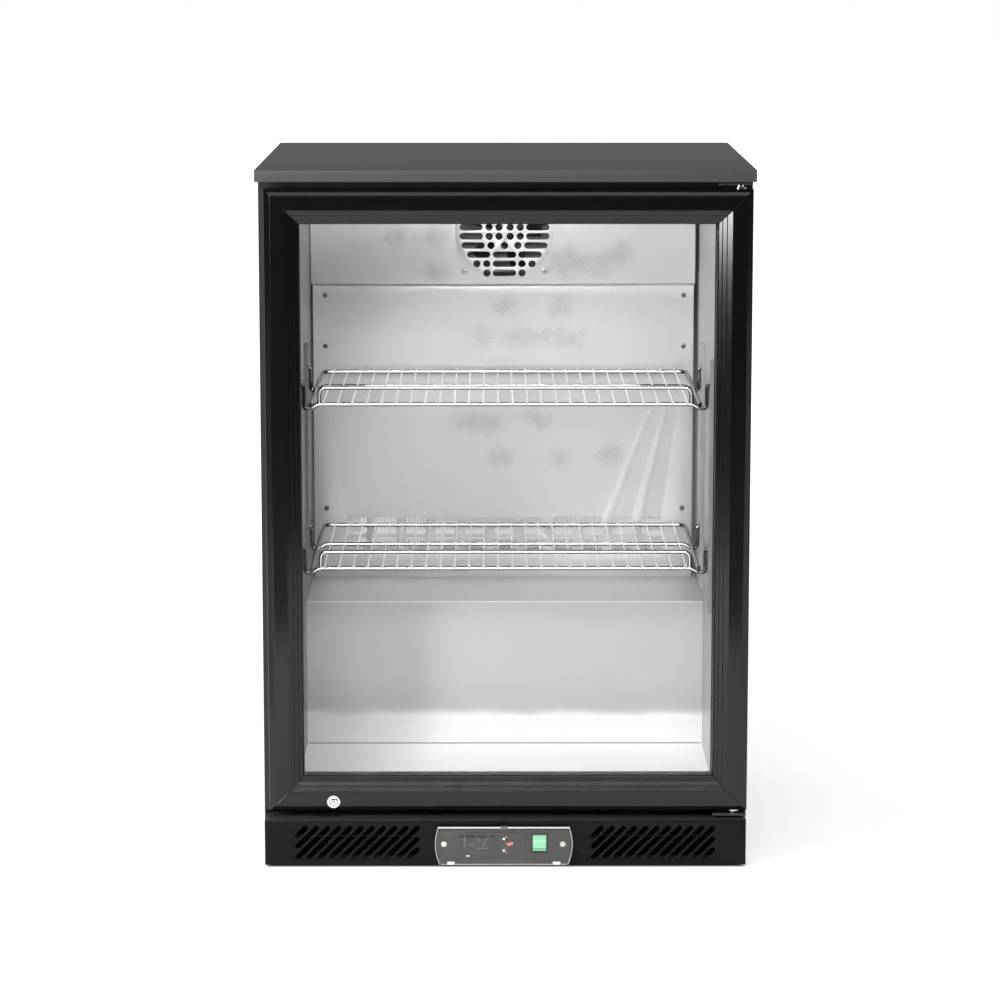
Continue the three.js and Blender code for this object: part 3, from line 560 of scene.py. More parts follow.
# Painted light and shade: these copies of the one liner aluminium differ in brightness, the back
# lightest, the right wall lit and the left wall shaded.
back_sheet = liner_sheet("back_sheet", 0.76, 0.86, (0.42, 0.50), 0.65, streaked=True)
shaded_left_sheet = liner_sheet("shaded_left_sheet", 0.28, 0.34, (0.36, 0.46))
lit_right_sheet = liner_sheet("lit_right_sheet", 0.50, 0.60, (0.36, 0.46))
floor_sheet = liner_sheet("floor_sheet", 0.58, 0.64, (0.38, 0.46), 0.25)

# %% [markdown]
# The floor and the foot of the step glow white, a painted light standing for the lamp's light
# that the floor throws back, and a soft grey band with a ragged edge across the step is a
# painted shadow of the shelf above.

# %% Painted glow and painted shelf shadow on the floor
tree = floor_sheet.node_tree
x, _, z = axes(floor_sheet)
cloud = tree.nodes.new("ShaderNodeTexNoise")
cloud.inputs["Scale"].default_value = 22
cloud.inputs["Detail"].default_value = 4
tree.links.new(tree.nodes["Texture Coordinate"].outputs["Object"], cloud.inputs["Vector"])
height = combine(tree, "ADD", z, combine(tree, "MULTIPLY", cloud.outputs["Fac"], 0.016))
# Painted light: the floor and the foot of the step glow, less towards the left.
foot_painted_glow = ramp_between(tree, height, 0.148, 0.160, 0.38, 0.0)
side_painted_glow = ramp_between(tree, x, -0.22, -0.06, 0.35, 1.0)
tree.links.new(combine(tree, "MULTIPLY", foot_painted_glow, side_painted_glow),
               tree.nodes["Principled BSDF"].inputs["Emission Strength"])
# Painted shadow of the shelf: a grey band across the step.
light_and_shade_band = combine(tree, "MULTIPLY", ramp_between(tree, height, 0.160, 0.163),
               ramp_between(tree, height, 0.172, 0.205, 0.45, 0.0))
recolour(floor_sheet, light_and_shade_band, (0.50, 0.53, 0.56))

# %% [markdown]
# ### Clear pieces
# The door has two clear panes and the controls have a clear flap. Light has to pass through
# both, so they are mostly a Transparent shader, and a Fresnel term adds the thin reflection
# that grows at a slant.

# %% Panes and clear cover
def clear(name, tint, strength, roughness):
    """A clear sheet: see-through, with a reflection that grows at a slant."""
    material = bpy.data.materials.new(name)
    material.use_nodes = True
    tree = material.node_tree
    tree.nodes.remove(tree.nodes["Principled BSDF"])
    out = tree.nodes["Material Output"]
    through = tree.nodes.new("ShaderNodeBsdfTransparent")
    through.inputs["Color"].default_value = (*tint, 1)
    shine = tree.nodes.new("ShaderNodeBsdfGlossy")
    shine.inputs["Roughness"].default_value = roughness
    slant = tree.nodes.new("ShaderNodeFresnel")
    slant.inputs["IOR"].default_value = 1.45
    mix = tree.nodes.new("ShaderNodeMixShader")
    tree.links.new(combine(tree, "MULTIPLY", slant.outputs["Fac"], strength), mix.inputs["Fac"])
    tree.links.new(through.outputs["BSDF"], mix.inputs[1])
    tree.links.new(shine.outputs["BSDF"], mix.inputs[2])
    tree.links.new(mix.outputs["Shader"], out.inputs["Surface"])
    return material


pane_glass = clear("pane_glass", (0.99, 0.99, 0.99), 0.25, 0.02)
cover_clear = clear("cover_clear", (0.975, 0.97, 0.965), 0.6, 0.05)
# Painted highlights: glowing finishes for the edges of the clear cover.
cover_edge_highlight = finish("cover_edge_highlight", 0.90, 0.96, (0.15, 0.22), relief=0.0, Emission_Strength=0.45,
                    Alpha=0.8)
cover_side_glow = finish("cover_side_glow", 0.40, 0.46, (0.15, 0.22), relief=0.0, Emission_Strength=0.10,
                    Alpha=0.75)
# Painted highlight: a pale, thin finish for the creases of the display film.
crease_highlight_film = finish("crease_highlight_film", 0.60, 0.70, (0.2, 0.3), relief=0.0, Alpha=0.22)

# %% [markdown]
# ### Dressing the frame's own nodes
# Many nodes already have the right shape: flat sheets, panes and hidden machinery. They stay
# and only take a finish. The others are modelled again below and replace their node.

# %% Finishes for the nodes that stay
def paint(piece, *materials):
    """Fills the material slots of a piece."""
    piece.data.materials.clear()
    for material in materials:
        piece.data.materials.append(material)


def dress(names, material):
    """Gives one finish to several nodes of the frame."""
    for name in names.split():
        paint(nodes[name], material)


dress("worktop casing_back plinth_grille rear_grille base_pan", casing_coat)
dress("casing_left casing_right front_frame hinge_bracket_top hinge_bracket_bottom", side_coat)
dress("door_rail_top door_rail_bottom door_stile_left door_stile_right", profile_coat)
dress("liner_back duct_panel fan_panel", back_sheet)
dress("liner_floor", floor_sheet)
dress("liner_left pilaster_front_left pilaster_rear_left", shaded_left_sheet)
dress("liner_right liner_ceiling pilaster_front_right pilaster_rear_right", lit_right_sheet)
dress("shelf_upper shelf_lower", wire_chrome)
dress("hinge_bush_top hinge_bush_bottom lock_body lock_plug", bright_chrome)
dress("glass_outer glass_inner", pane_glass)
dress("control_cover", cover_clear)
dress("control_plate", panel_grey)
dress("controller key_up key_down key_set", controller_face)
dress("switch_body fan_blade condenser_fan_blade condensate_tray"
      " cable_gland foot_front_left foot_front_right foot_rear_left foot_rear_right", moulded_black)
dress("switch_rocker", rocker_green)
dress("door_gasket", seal_rubber)
dress("insulation", foam_cream)
dress("evaporator condenser", mill_aluminium)
dress("glass_spacer lock_keeper lock_cam", spacer_black)
dress("fan_motor compressor condenser_fan_motor", cast_black)
dress("lamp", lamp_diffuser)


def ready(piece, material, body, slot, *replaced):
    """Gives a new piece its finish and its body and hides the nodes it stands for; slot is not
    used.
    """
    if material:
        paint(piece, material)
    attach(piece, body)
    if replaced:
        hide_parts(*replaced)
    return piece


# %% [markdown]
# ## Worktop and plinth
# The worktop is a folded sheet whose edges are crisp but never razor sharp. A block with a
# small three-step bevel gives that edge its thin line of light.

# %% Worktop
worktop = soften(block("worktop_top", *span("worktop")), 1.2)
ready(worktop, worktop_coat, "cabinet", "black_steel", "worktop")
print("worktop faces:", len(worktop.data.polygons))

# %% [markdown]
# The plinth is a sheet folded back at the top. Its section is drawn once, with a rounded fold,
# and run along X. Each vent is nine full slanting slots with two shorter ones at either end,
# punched through with one boolean.

# %% Plinth with slanting slots
def arc(cy, cz, radius, start, end, steps=5):
    """Points on an arc in Y and Z, angles in degrees."""
    turns = [radians(start + (end - start) * i / steps) for i in range(steps + 1)]
    return [(cy + radius * cos(t), cz + radius * sin(t)) for t in turns]


(px0, px1), (py0, py1), (pz0, pz1) = span("plinth_grille")
FOLD = 2.0
plinth_section = ([(py0, pz0)] + arc(py0 + FOLD, pz1 - FOLD, FOLD, 180, 90)
                  + [(py1, pz1), (py1, pz1 - 1)]
                  + arc(py0 + FOLD, pz1 - FOLD, FOLD - 1, 90, 180)
                  + [(py0 + 1, pz0 + 1), (py0 + 10, pz0 + 1), (py0 + 10, pz0)])
plinth = bar("plinth", plinth_section, px0, px1)
ends = [block("plinth_end", (x, x + 1), (py0 + 0.3, py1), (pz0, pz1 - 0.3))
        for x in (px0, px1 - 1)]

SLOT = {"pitch": 13.75, "low": 8.5, "high": 51.5, "width": 6.6, "group": 182}


def vent(x):
    """The cutters of one group of slanting slots, with its middle at x."""
    reach = (SLOT["high"] - SLOT["low"] - SLOT["width"]) / 2
    half = 4 * SLOT["pitch"] + reach
    cutters = []
    for i in range(-6, 7):
        start, end = max(i * SLOT["pitch"] - reach, -half), min(i * SLOT["pitch"] + reach, half)
        middle = (start + end) / 2
        z = (SLOT["low"] + SLOT["high"]) / 2 + middle - i * SLOT["pitch"]
        length = (end - start) * 2 ** 0.5 + SLOT["width"]
        cutters.append(slot_cutter(x + middle, z, length, SLOT["width"], py0, pi / 4))
    return cutters


(cx0, cx1), _, (cz0, cz1) = span("controller")
(sx0, sx1), _, (sz0, sz1) = span("switch_body")
(kx0, kx1), (ky0, ky1), _ = span("lock_keeper")


def windows(low, high):
    """Cutters for the controller and the switch, between two depths."""
    return [block("window", (cx0 - 0.3, cx1 + 0.3), (low, high), (cz0 - 0.3, cz1 + 0.3)),
            block("window", (sx0 + 0.8, sx1 - 0.8), (low, high), (sz0 + 0.8, sz1 - 0.8))]


keep_slot = block("window", (kx0 + 9, kx1 - 9), (ky0 + 4, ky1 - 4), (pz1 - 3, pz1 + 1))
cut(plinth, vent(-SLOT["group"]) + vent(SLOT["group"]) + windows(py0 - 3, py0 + 3)
    + [keep_slot])
plinth = joined("plinth", [plinth] + ends)
soften(plinth, 0.3, 2, 50)
ready(plinth, plinth_coat, "cabinet", "black_steel", "plinth_grille")
# Painted shade: the inside faces of the plinth take the near-perfect black.
plinth.data.materials.append(painted_shade_black)
inner = at(0, py0 + 0.9, pz1 - 2.6)
for face in plinth.data.polygons:
    face.material_index = int(face.center.y > inner.y and face.center.z < inner.z)
print("plinth faces:", len(plinth.data.polygons))

# %% [markdown]
# ## The door frame
# Four lengths of one aluminium profile meet in mitres. The profile has a rounded outer edge, a
# flat face and three reeds that step down to the glass. The section is drawn once, a bar is
# made from it, both ends are bisected at 45 degrees, and a small bevel breaks each arris, so
# that every mitre shows as a hairline.

# %% The profile
(dx0, dx1) = span("door_stile_left")[0][0], span("door_stile_right")[0][1]
dy0 = span("door_stile_left")[1][0]
(dz0, dz1) = span("door_rail_bottom")[2][0], span("door_rail_top")[2][1]
HAIRLINE = 0.12

profile = [(36, 0), (7, 0), (5.6, 0.5), (0.75, 7.1), (0.38, 7.8), (0.1, 8.5), (0, 9.2), (0, 25),
           (3.0, 31.2), (3.9, 31.8), (6.2, 36.6), (7.1, 37.2), (8.95, 41), (10.1, 42),
           (11.5, 42), (11.5, 31), (32.5, 31), (32.5, 42), (36, 42)]


def profile_bar(name, section, length, turn, corner, bevel=0.25):
    """A length of a section with both ends mitred, turned about Y and moved to a corner."""
    made = bar(name, section, 0, length)
    made.data.transform(Matrix.Translation((0, -FRONT, 0)))
    for x, side in ((HAIRLINE, -1), (length - HAIRLINE, 1)):
        with editing(made):
            bpy.ops.mesh.bisect(plane_co=(x * MM, 0, 0), plane_no=(side, 0, 1), use_fill=True,
                                clear_outer=True)
    soften(made, bevel, 2, 20)
    # The reeds stay crisp facets: only steps under six degrees are smoothed.
    bpy.ops.object.shade_smooth_by_angle(angle=radians(6))
    made.data.transform(Matrix.Rotation(turn, 4, "Y"))
    made.data.transform(Matrix.Translation(at(*corner)))
    return made


wide, tall = dx1 - dx0, dz1 - dz0
door_bars = {
    "door_rail_bottom": profile_bar("frame_bottom", profile, wide, 0, (dx0, dy0, dz0)),
    "door_rail_top": profile_bar("frame_top", profile, wide, pi, (dx1, dy0, dz1)),
    "door_stile_right": profile_bar("frame_right", profile, tall, -pi / 2, (dx1, dy0, dz0)),
    "door_stile_left": profile_bar("frame_left", profile, tall, pi / 2, (dx0, dy0, dz1)),
}
hinge_x, hinge_y, _ = mid_point("hinge_bush_top")
lock_x, _, lock_z = mid_point("lock_body")
BUSH, LOCK_BORE = 6.7, 6.75
for node in ("door_rail_bottom", "door_rail_top", "door_stile_right"):
    holes = [rod("bore", hinge_x, hinge_y, (dz0 - 5, dz0 + 18), BUSH),
             rod("bore", hinge_x, hinge_y, (dz1 - 18, dz1 + 5), BUSH)]
    if node == "door_rail_bottom":
        holes += [rod("bore", lock_x, (-5, 20), lock_z, LOCK_BORE),
                  block("pocket", (lock_x - 32, lock_x + 9), (19, 24), (dz0 - 2, lock_z + 9))]
    for hole in holes:
        cut(door_bars[node], [hole])
for node, piece in door_bars.items():
    ready(piece, profile_coat, "door", "black_profile", node)
print("door bars:", {n: len(p.data.polygons) for n, p in door_bars.items()})

# %% [markdown]
# The magnetic gasket is a rubber bellows. A section with two folds and a flat magnet pocket is
# run round the back of the door in the same way as the frame.

# %% Gasket
(gx0, gx1), (gy0, _), (gz0, gz1) = span("door_gasket")
bellows = [(0, 3.5), (0, 8.5), (1.6, 8.8), (2.2, 11.2), (3.4, 11.4), (4.2, 9.2), (4.8, 12),
           (7.2, 12), (7.2, 0), (4.8, 0), (4.2, 2.8), (3.4, 0.6), (2.2, 0.8), (1.6, 3.2)]
across, upright = gx1 - gx0, gz1 - gz0
gasket = joined("gasket", [
    profile_bar("gasket_side", bellows, length, turn, corner, 0.2)
    for length, turn, corner in ((across, 0, (gx0, gy0, gz0)), (across, pi, (gx1, gy0, gz1)),
                                 (upright, -pi / 2, (gx1, gy0, gz0)),
                                 (upright, pi / 2, (gx0, gy0, gz1)))])
ready(gasket, seal_rubber, "door", "rubber", "door_gasket")
print("gasket:", round(across, 1), "by", round(upright, 1), "mm")

# %% [markdown]
# ## Turned fittings
# The lock, the hinge bushes, the feet and the cable gland are all turned pieces, so each is a
# small profile spun once round its axis.

# %% Lock
lock_ring = turned("lock_ring", [
    (5.0, 16), (5.0, 0.6), (5.4, 0), (7.4, 0), (8.1, 0.5), (8.25, 1.2), (8.25, 2), (6.5, 2),
    (6.5, 16)], (lock_x, 0, lock_z), "Y")
ready(lock_ring, bright_chrome, "door", "chrome", "lock_body")
lock_barrel = turned("lock_barrel", [
    (0, 19), (0, -0.2), (3.9, -0.2), (4.5, 0.1), (4.75, 0.6), (4.75, 19)],
    (lock_x, 0, lock_z), "Y")
cut(lock_barrel, [rod("keyway", lock_x + side * 1.3, (-2, 4), lock_z, 0.8, 20)
                  for side in (-1, 1)])
soften(lock_barrel, 0.08, 2, 40)
ready(lock_barrel, bright_chrome, "lock", "chrome", "lock_plug")
print("lock at:", round(lock_x, 1), round(lock_z, 1))

# %% Hinge bushes and the ends of their pins
bush_profile = [(4.25, 0), (7.0, 0), (7.5, 0.5), (7.5, 1.7), (7.2, 2), (6.5, 2), (6.5, 17),
                (4.25, 17)]
lower = turned("bush_lower", bush_profile, (hinge_x, hinge_y, dz0 - 2), "Z")
ready(lower, bright_chrome, "door", "chrome", "hinge_bush_bottom")
upper = turned("bush_upper", [(r, -h) for r, h in bush_profile], (hinge_x, hinge_y, dz1 + 2), "Z")
ready(upper, bright_chrome, "door", "chrome", "hinge_bush_top")

for name, low, high in (("hinge_pin_top", dz1 + 2.1, dz1 + 7.0),
                        ("hinge_pin_bottom", dz0 - 7.0, dz0 - 2.1)):
    pin = rod(name, hinge_x, hinge_y, (low, high), 4.1, 40)
    bpy.ops.object.shade_smooth_by_angle(angle=radians(35))
    ready(pin, bright_chrome, "cabinet", "chrome")

# %% Levelling feet
foot_profile = [(0, 0), (16.8, 0), (17.8, 0.6), (18, 1.6), (18, 4), (17.2, 5), (10, 11), (9, 12.4),
                (9, 18.4), (8.4, 19), (5, 19), (5, 42), (0, 42)]
for row in ("front", "rear"):
    for side in ("left", "right"):
        node = f"foot_{row}_{side}"
        x, y, _ = mid_point(node)
        foot = turned(f"levelling_{node}", foot_profile, (x, y, 0), "Z")
        ready(foot, moulded_black, node, "black_plastic", node)

# %% Cable gland
gland_x, _, gland_z = mid_point("cable_gland")
gland = turned("gland", [
    (4, 0), (6, 0), (6, 8.25), (10, 8.25), (10, 10.4), (9, 11.5), (5, 11.5), (4, 10.8)],
    (gland_x, span("cable_gland")[1][0], gland_z), "Y")
ready(gland, moulded_black, "cabinet", "black_plastic", "cable_gland")
print("gland at:", round(gland_x, 1), round(gland_z, 1))

# %% [markdown]
# ## Screws
# One pan-head screw is made with care, a rounded head with a cross recess, and then copied.
# Each copy has its own mesh and a small turn of its own, as real screws have.

# %% One screw and its copies
def screw_pattern():
    """A pan-head screw at the origin, looking to the front."""
    head = turned("screw", [
        (0, 0), (3.0, 0), (3.0, -0.7), (2.7, -1.3), (2.0, -1.7), (0.9, -1.9), (0, -1.95)],
        (0, 0, 0), "Y", 24)
    recess = [block("arm", (-1.5, 1.5), (-3, -1.0), (-0.32, 0.32)),
              block("arm", (-0.32, 0.32), (-3, -1.0), (-1.5, 1.5))]
    for arm in recess:
        cut(head, [arm])
    pick(head)
    bpy.ops.object.shade_smooth_by_angle(angle=radians(35))
    head.data.transform(Matrix.Translation((0, -FRONT, 0)))
    return head


pattern = screw_pattern()


def screw(name, x, y, z, size=1.0, facing=0.0, turn=0.4, material=None, slot="bright_sheet"):
    """A screw whose head stands on a surface at (x, y, z). Facing 0 looks to the front."""
    matrix = (Matrix.Translation(at(x, y, z)) @ Matrix.Rotation(facing, 4, "Z")
              @ Matrix.Rotation(turn, 4, "Y") @ Matrix.Scale(size, 4))
    made = copied(pattern, name, matrix)
    return ready(made, material or screw_steel, "cabinet", slot)


panel_y = span("duct_panel")[1][0]
grille_y = span("fan_panel")[1][0]
for i, z in enumerate((666, 599, 383)):
    screw(f"duct_screw_left_{i + 1}", -235, panel_y, z, 1.1, turn=0.3 + i, material=dark_screw)
    screw(f"duct_screw_right_{i + 1}", 235, panel_y, z, 1.1, turn=0.9 + i, material=dark_screw)
screw("grille_screw_left", -52, grille_y, 698.5, 1.35, turn=0.2)
screw("grille_screw_right", 52.5, grille_y, 699, 1.35, turn=1.1)

# %% [markdown]
# ## Painted shade behind the vents
# The inside faces of the plinth and a narrow apron under the pan take a near-perfect black, a
# painted shade: the apron is a dark sheet set behind the slots where there is only shade, and it
# also keeps most light from the floor from coming up through them. It is a thin strip with soft
# edges.

# %% Apron of painted shade behind the vents
shade_apron = soften(block("vent_shade_apron", (px0 + 4, px1 - 4), (47.6, 49.0), (4, 26)), 0.2, 2)
ready(shade_apron, painted_shade_black, "cabinet", "black_steel")

# %% [markdown]
# ## Fan panel and duct panel
# The sheet in front of the fan is embossed with a round field and pierced in rows of slots and
# holes. The sheet below it has four rows of slots where the air returns. Both are made as a
# real sheet with real holes, because the dark fan and coil show behind them.

# %% Fan panel
(fx0, fx1), (fy0, fy1), (fz0, fz1) = span("fan_panel")
fan_z = 750.0
ROW = 11.95
rows = [
    ((-43.5, 43.5), (-20, -7, 7.5, 20.5)),
    ((-41, 41), (-17.5, 0, 17.5)),
    ((-33.5, 0, 33.5), ()),
    ((0,), (-36, -23, 23, 36)),
    ((0,), (-23, 23)),
]
fan_sheet = bar("fan_sheet", [(fy0, fz1)] + arc(fy0 + 2.5, fz0 + 2.5, 2.5, 180, 270)
                + [(fy1, fz0), (fy1, fz0 + 1)] + arc(fy0 + 2.5, fz0 + 2.5, 1.5, 270, 180)
                + [(fy0 + 1, fz1)], fx0, fx1)
field = turned("field", [(0, 0.5), (0, -2.6), (57, -2.6), (59.5, -2.2), (64, -0.2), (66, 0.5)],
               (0, fy0, fan_z), "Y", 96)
cut(fan_sheet, [field], "UNION")
piercings = []
for i, (slots, holes) in enumerate(rows):
    for side in (-1, 1):
        z = fan_z + side * ROW * (i + 0.5)
        piercings += [slot_cutter(x, z, 30.5, 8.9, fy0) for x in slots]
        piercings += [rod("hole", x, (fy0 - 6, fy0 + 6), z, 4.8, 24) for x in holes]
cut(fan_sheet, piercings)
soften(fan_sheet, 0.25, 2, 40)
ready(fan_sheet, back_sheet, "cabinet", "bright_sheet", "fan_panel")
print("fan sheet faces:", len(fan_sheet.data.polygons))

# %% [markdown]
# A shallow moulded cup stands round the fan and closes the space behind the sheet. It is turned
# like a dish, bored for the motor, and cut flat where it meets the ceiling.

# %% Shroud round the evaporator fan
cowl = turned("fan_shroud", [
    (0, 26.5), (0, 25), (61, 25), (65, 23), (66, 20), (66, 1.6), (67.5, 1.6), (67.5, 20),
    (66.2, 24.5), (62, 26.5)], (0, fy0, fan_z), "Y", 64)
cut(cowl, [rod("bore", 0, (fy0 + 20, fy0 + 30), fan_z, 12)])
cut(cowl, [block("top", (-80, 80), (fy0 - 5, fy0 + 40), (fz1 - 0.6, fz1 + 20))])
ready(cowl, shroud_grey, "cabinet", "black_plastic")
print("shroud faces:", len(cowl.data.polygons))

# %% Duct panel with a step near its top edge
(ux0, ux1), (uy0, uy1), (uz0, uz1) = span("duct_panel")
STEP = 661.0
RETURNS = {"rows": 4, "first": 326, "pitch": 13.6, "columns": 11, "spread": 39, "long": 27}
duct_section = [(uy0, uz0), (uy0, STEP - 1.5), (uy0 - 0.4, STEP), (uy0 - 0.4, uz1),
                (uy1 - 0.4, uz1), (uy1 - 0.4, STEP + 0.3), (uy1, STEP - 1.2), (uy1, uz0)]
duct_sheet = bar("duct_sheet", duct_section, ux0, ux1)
cut(duct_sheet, [slot_cutter((i - RETURNS["columns"] // 2) * RETURNS["spread"],
                             RETURNS["first"] + row * RETURNS["pitch"], RETURNS["long"], 9, uy0)
                 for row in range(RETURNS["rows"]) for i in range(RETURNS["columns"])])
soften(duct_sheet, 0.25, 2, 25)
ready(duct_sheet, back_sheet, "cabinet", "bright_sheet", "duct_panel")
print("duct sheet faces:", len(duct_sheet.data.polygons))

# %% [markdown]
# Behind the return slots stands the cooling coil. It is a stack of thin plates on copper tubes,
# so one plate is made and an array repeats it every four millimetres. A pad of pale foam fills
# the space at either end of it.

# %% Cooling coil and its packing
(ex0, ex1), (ey0, ey1), (ez0, ez1) = span("evaporator")
FIN = {"pitch": 4.0, "thick": 0.5}
fins = block("coil_fin", (ex0, ex0 + FIN["thick"]), (ey0, ey1), (ez0, ez1))
modify(fins, "ARRAY", count=int((ex1 - ex0 - FIN["thick"]) / FIN["pitch"]) + 1,
       use_relative_offset=False, use_constant_offset=True,
       constant_offset_displace=(FIN["pitch"] * MM, 0, 0))
tubes = [rod("tube", (ex0, ex1), y, z, 4.2, 16)
         for y in (ey0 + 18, ey1 - 18) for z in range(340, 560, 40)]
coil = joined("cooling_coil", [fins] + tubes)
# The coil and its packing take the glowing coil finish, a painted light.
ready(coil, coil_fins, "cabinet", "aluminium", "evaporator")
for side, label in ((-1, "left"), (1, "right")):
    ends = sorted((side * (ex1 + 0.6), side * 216))
    packing = block(f"coil_packing_{label}", ends, (ey0 + 4, ey1 - 4), (ez0, ez1 - 20))
    ready(soften(packing, 1.0, 2), coil_fins, "cabinet", "foam")
print("coil faces:", len(coil.data.polygons))

# %% [markdown]
# The cavity floor steps up over the compressor. A dark bead in the corner at the foot of the
# step is a painted shade line in that fold, and the folded edge at its top glows white, a painted
# highlight where the lamp catches it. Both are thin bars of one section, a fillet and a quarter
# round, because a line this fine would be lost in a texture.

# %% Painted shade in the corner and painted highlight on the edge of the step
STEP_Y, SHEET, STEP_END = 215.0, 1.0, 252
_, _, (step_floor, step_top) = span("liner_floor")
floor_z = step_floor + SHEET
# Painted shade: a dark bead in the fold at the foot of the step.
fold_shade = bar("floor_fold_shade", [
    (STEP_Y - 2.4, floor_z + 0.05), (STEP_Y - 0.1, floor_z + 0.05),
    (STEP_Y - 0.1, floor_z + 2.2), (STEP_Y - 0.9, floor_z + 0.9)], -STEP_END, STEP_END)
soften(fold_shade, 0.15, 2)
ready(fold_shade, fold_shade_grey, "cabinet", "rubber")
edge_middle = (STEP_Y + 0.7, step_top - 0.6)
# Painted highlight: the folded edge glows white.
step_edge = bar("step_edge", arc(*edge_middle, 1.1, 90, 180) + [edge_middle],
                -STEP_END, STEP_END)
ready(step_edge, edge_highlight, "cabinet", "bright_sheet")
print("floor at", round(floor_z, 1), "and step at", round(step_top, 1))

# %% [markdown]
# ## Wire shelves
# Each shelf is a bent outer rod, two hooked cross rods, a raised guard rod along the front and
# twenty-six thin wires welded across. Rods are routes with swept corners and a round section.
# Small beads at the front ends of the wires are the welds.

# %% One shelf, then its twin
upper_low, lower_low = span("shelf_upper")[2][0], span("shelf_lower")[2][0]
THICK = 2.5
FINE = 0.95
RACK = {"front": 64, "middle": 234, "back": 378, "side": 238.5, "lip": 20.5, "guard": 227.5,
        "stem": 246.75, "peg": 5.25, "rise": 23, "wires": 26, "wire_half": 222.5}


def mirrored(points):
    """A half route followed by its mirror image, back to front."""
    return points + [(-x, y, z) for x, y, z in reversed(points)]


def shelf(name, level):
    """One shelf whose wires lie at a height."""
    r = RACK
    dip = level - 2 * THICK
    top = level + THICK
    rods = [bent_rod("frame", mirrored([
        (-r["side"], r["front"] - 1, level), (-r["side"], r["back"], level)]), THICK, 14)]
    for y in (r["front"], r["middle"]):
        rods.append(bent_rod("cross", mirrored([
            (-r["stem"] - r["peg"], y, level + r["rise"]), (-r["stem"], y, level + r["rise"]),
            (-r["stem"], y, dip), (-r["side"] + 1, y, dip), (-r["side"] + 9, y, level)]),
            THICK, 6))
    rods.append(bent_rod("guard", mirrored([
        (-r["guard"], r["front"], level + 1),
        (-r["guard"], r["front"], level + r["lip"])]), THICK, 9))
    wire = bent_rod("wire", [
        (0, r["front"] - 2, top - 1.2), (0, r["front"] + 3, top + 0.6),
        (0, r["middle"], top + 0.6), (0, r["back"] + 2.2, top + 0.4)], FINE, 3, 2)
    bead = turned("bead", [(0, -2.2), (1.6, -1.5), (2.2, 0), (1.6, 1.5), (0, 2.2)],
                  (0, r["front"] - 2.0, top - 0.6), "Z", 12)
    for piece in rods:
        paint(piece, wire_chrome)
    for piece in (wire, bead):
        paint(piece, fine_chrome)
    pitch = 2 * r["wire_half"] / (r["wires"] - 1)
    for i in range(r["wires"]):
        move = shifted(-r["wire_half"] + i * pitch)
        rods += [copied(wire, "wire", move), copied(bead, "bead", move)]
    bpy.data.objects.remove(wire)
    bpy.data.objects.remove(bead)
    return joined(name, rods)


upper_shelf = shelf("wire_shelf_upper", upper_low + 3 * THICK)
lower_shelf = copied(upper_shelf, "wire_shelf_lower", shifted(z=lower_low - upper_low))
for piece, node in ((upper_shelf, "shelf_upper"), (lower_shelf, "shelf_lower")):
    ready(piece, None, node, "chrome", node)
print("shelf faces:", len(upper_shelf.data.polygons))

# %% [markdown]
# ## Lamp
# A slim diffuser under the ceiling lights the cavity. A block with well rounded edges is
# enough, because the top rail hides it from the front.

# %% Lamp diffuser
lamp = soften(block("lamp_tube", *span("lamp")), 3.5, 4)
ready(lamp, lamp_diffuser, "cabinet", "lamp_lens", "lamp")

# %% [markdown]
# ## The control panel
# A grey plate carries the controller, a green rocker switch and two white lugs. A clear flap
# closes over them: a shallow tray with bowed ends, moulded in one piece with its pins.

# %% Plate and lugs
CONTROL_X = mid_point("control_plate")[0]
_, (_, plate_back), (plate_foot, _) = span("control_plate")
PLATE_FACE = -1.0
COVER = {"wide": 84.5, "top": 81, "foot": 78.5, "low": 3, "high": 51}


def bowed(inset, low=COVER["low"], high=COVER["high"], steps=12):
    """The outline of the plate and its cover: straight top and foot, ends bowed out."""
    right = []
    for i in range(steps + 1):
        t = i / steps
        chord = COVER["foot"] + (COVER["top"] - COVER["foot"]) * t
        bow = (COVER["wide"] - (COVER["top"] + COVER["foot"]) / 2) * 4 * t * (1 - t)
        right.append((chord + bow - inset, low + inset + (high - low - 2 * inset) * t))
    left = [(-u, z) for u, z in reversed(right)]
    return [(CONTROL_X + u, z) for u, z in right + left]


backing = plate("control_backing", bowed(1, plate_foot), PLATE_FACE, plate_back)
cut(backing, windows(-5, 5))
soften(backing, 0.15, 2)
ready(backing, panel_grey, "cabinet", "grey_plastic", "control_plate")
LUG = {"reach": 65, "half": 4.5, "pin_y": -3.5, "pin_z": 4.75}
for side, label in ((-1, "left"), (1, "right")):
    middle = CONTROL_X + side * LUG["reach"]
    lug = block(f"cover_lug_{label}", (middle - LUG["half"], middle + LUG["half"]),
                (-6, PLATE_FACE), (4.2, 7.6))
    cut(lug, [rod("bore", (middle - 9, middle + 9), LUG["pin_y"], LUG["pin_z"], 1.5, 24)])
    soften(lug, 0.35, 2)
    ready(lug, lug_white, "cabinet", "grey_plastic")
screw("control_screw_left", -75.5, PLATE_FACE, 29, 1.15, turn=0.5, material=nickel, slot="chrome")
screw("control_screw_right", 70.5, PLATE_FACE, 29, 1.15, turn=1.0, material=nickel, slot="chrome")

# %% [markdown]
# The cover is a tray hollowed from a bowed plate. A thin rim lies on its face, open at the foot,
# because a clear moulding shows mostly by its bright edges. Those edges are painted highlights:
# the upward faces of the tray and the rim glow white, and the other faces of the rim glow grey.
# The tab at the top is smoked.

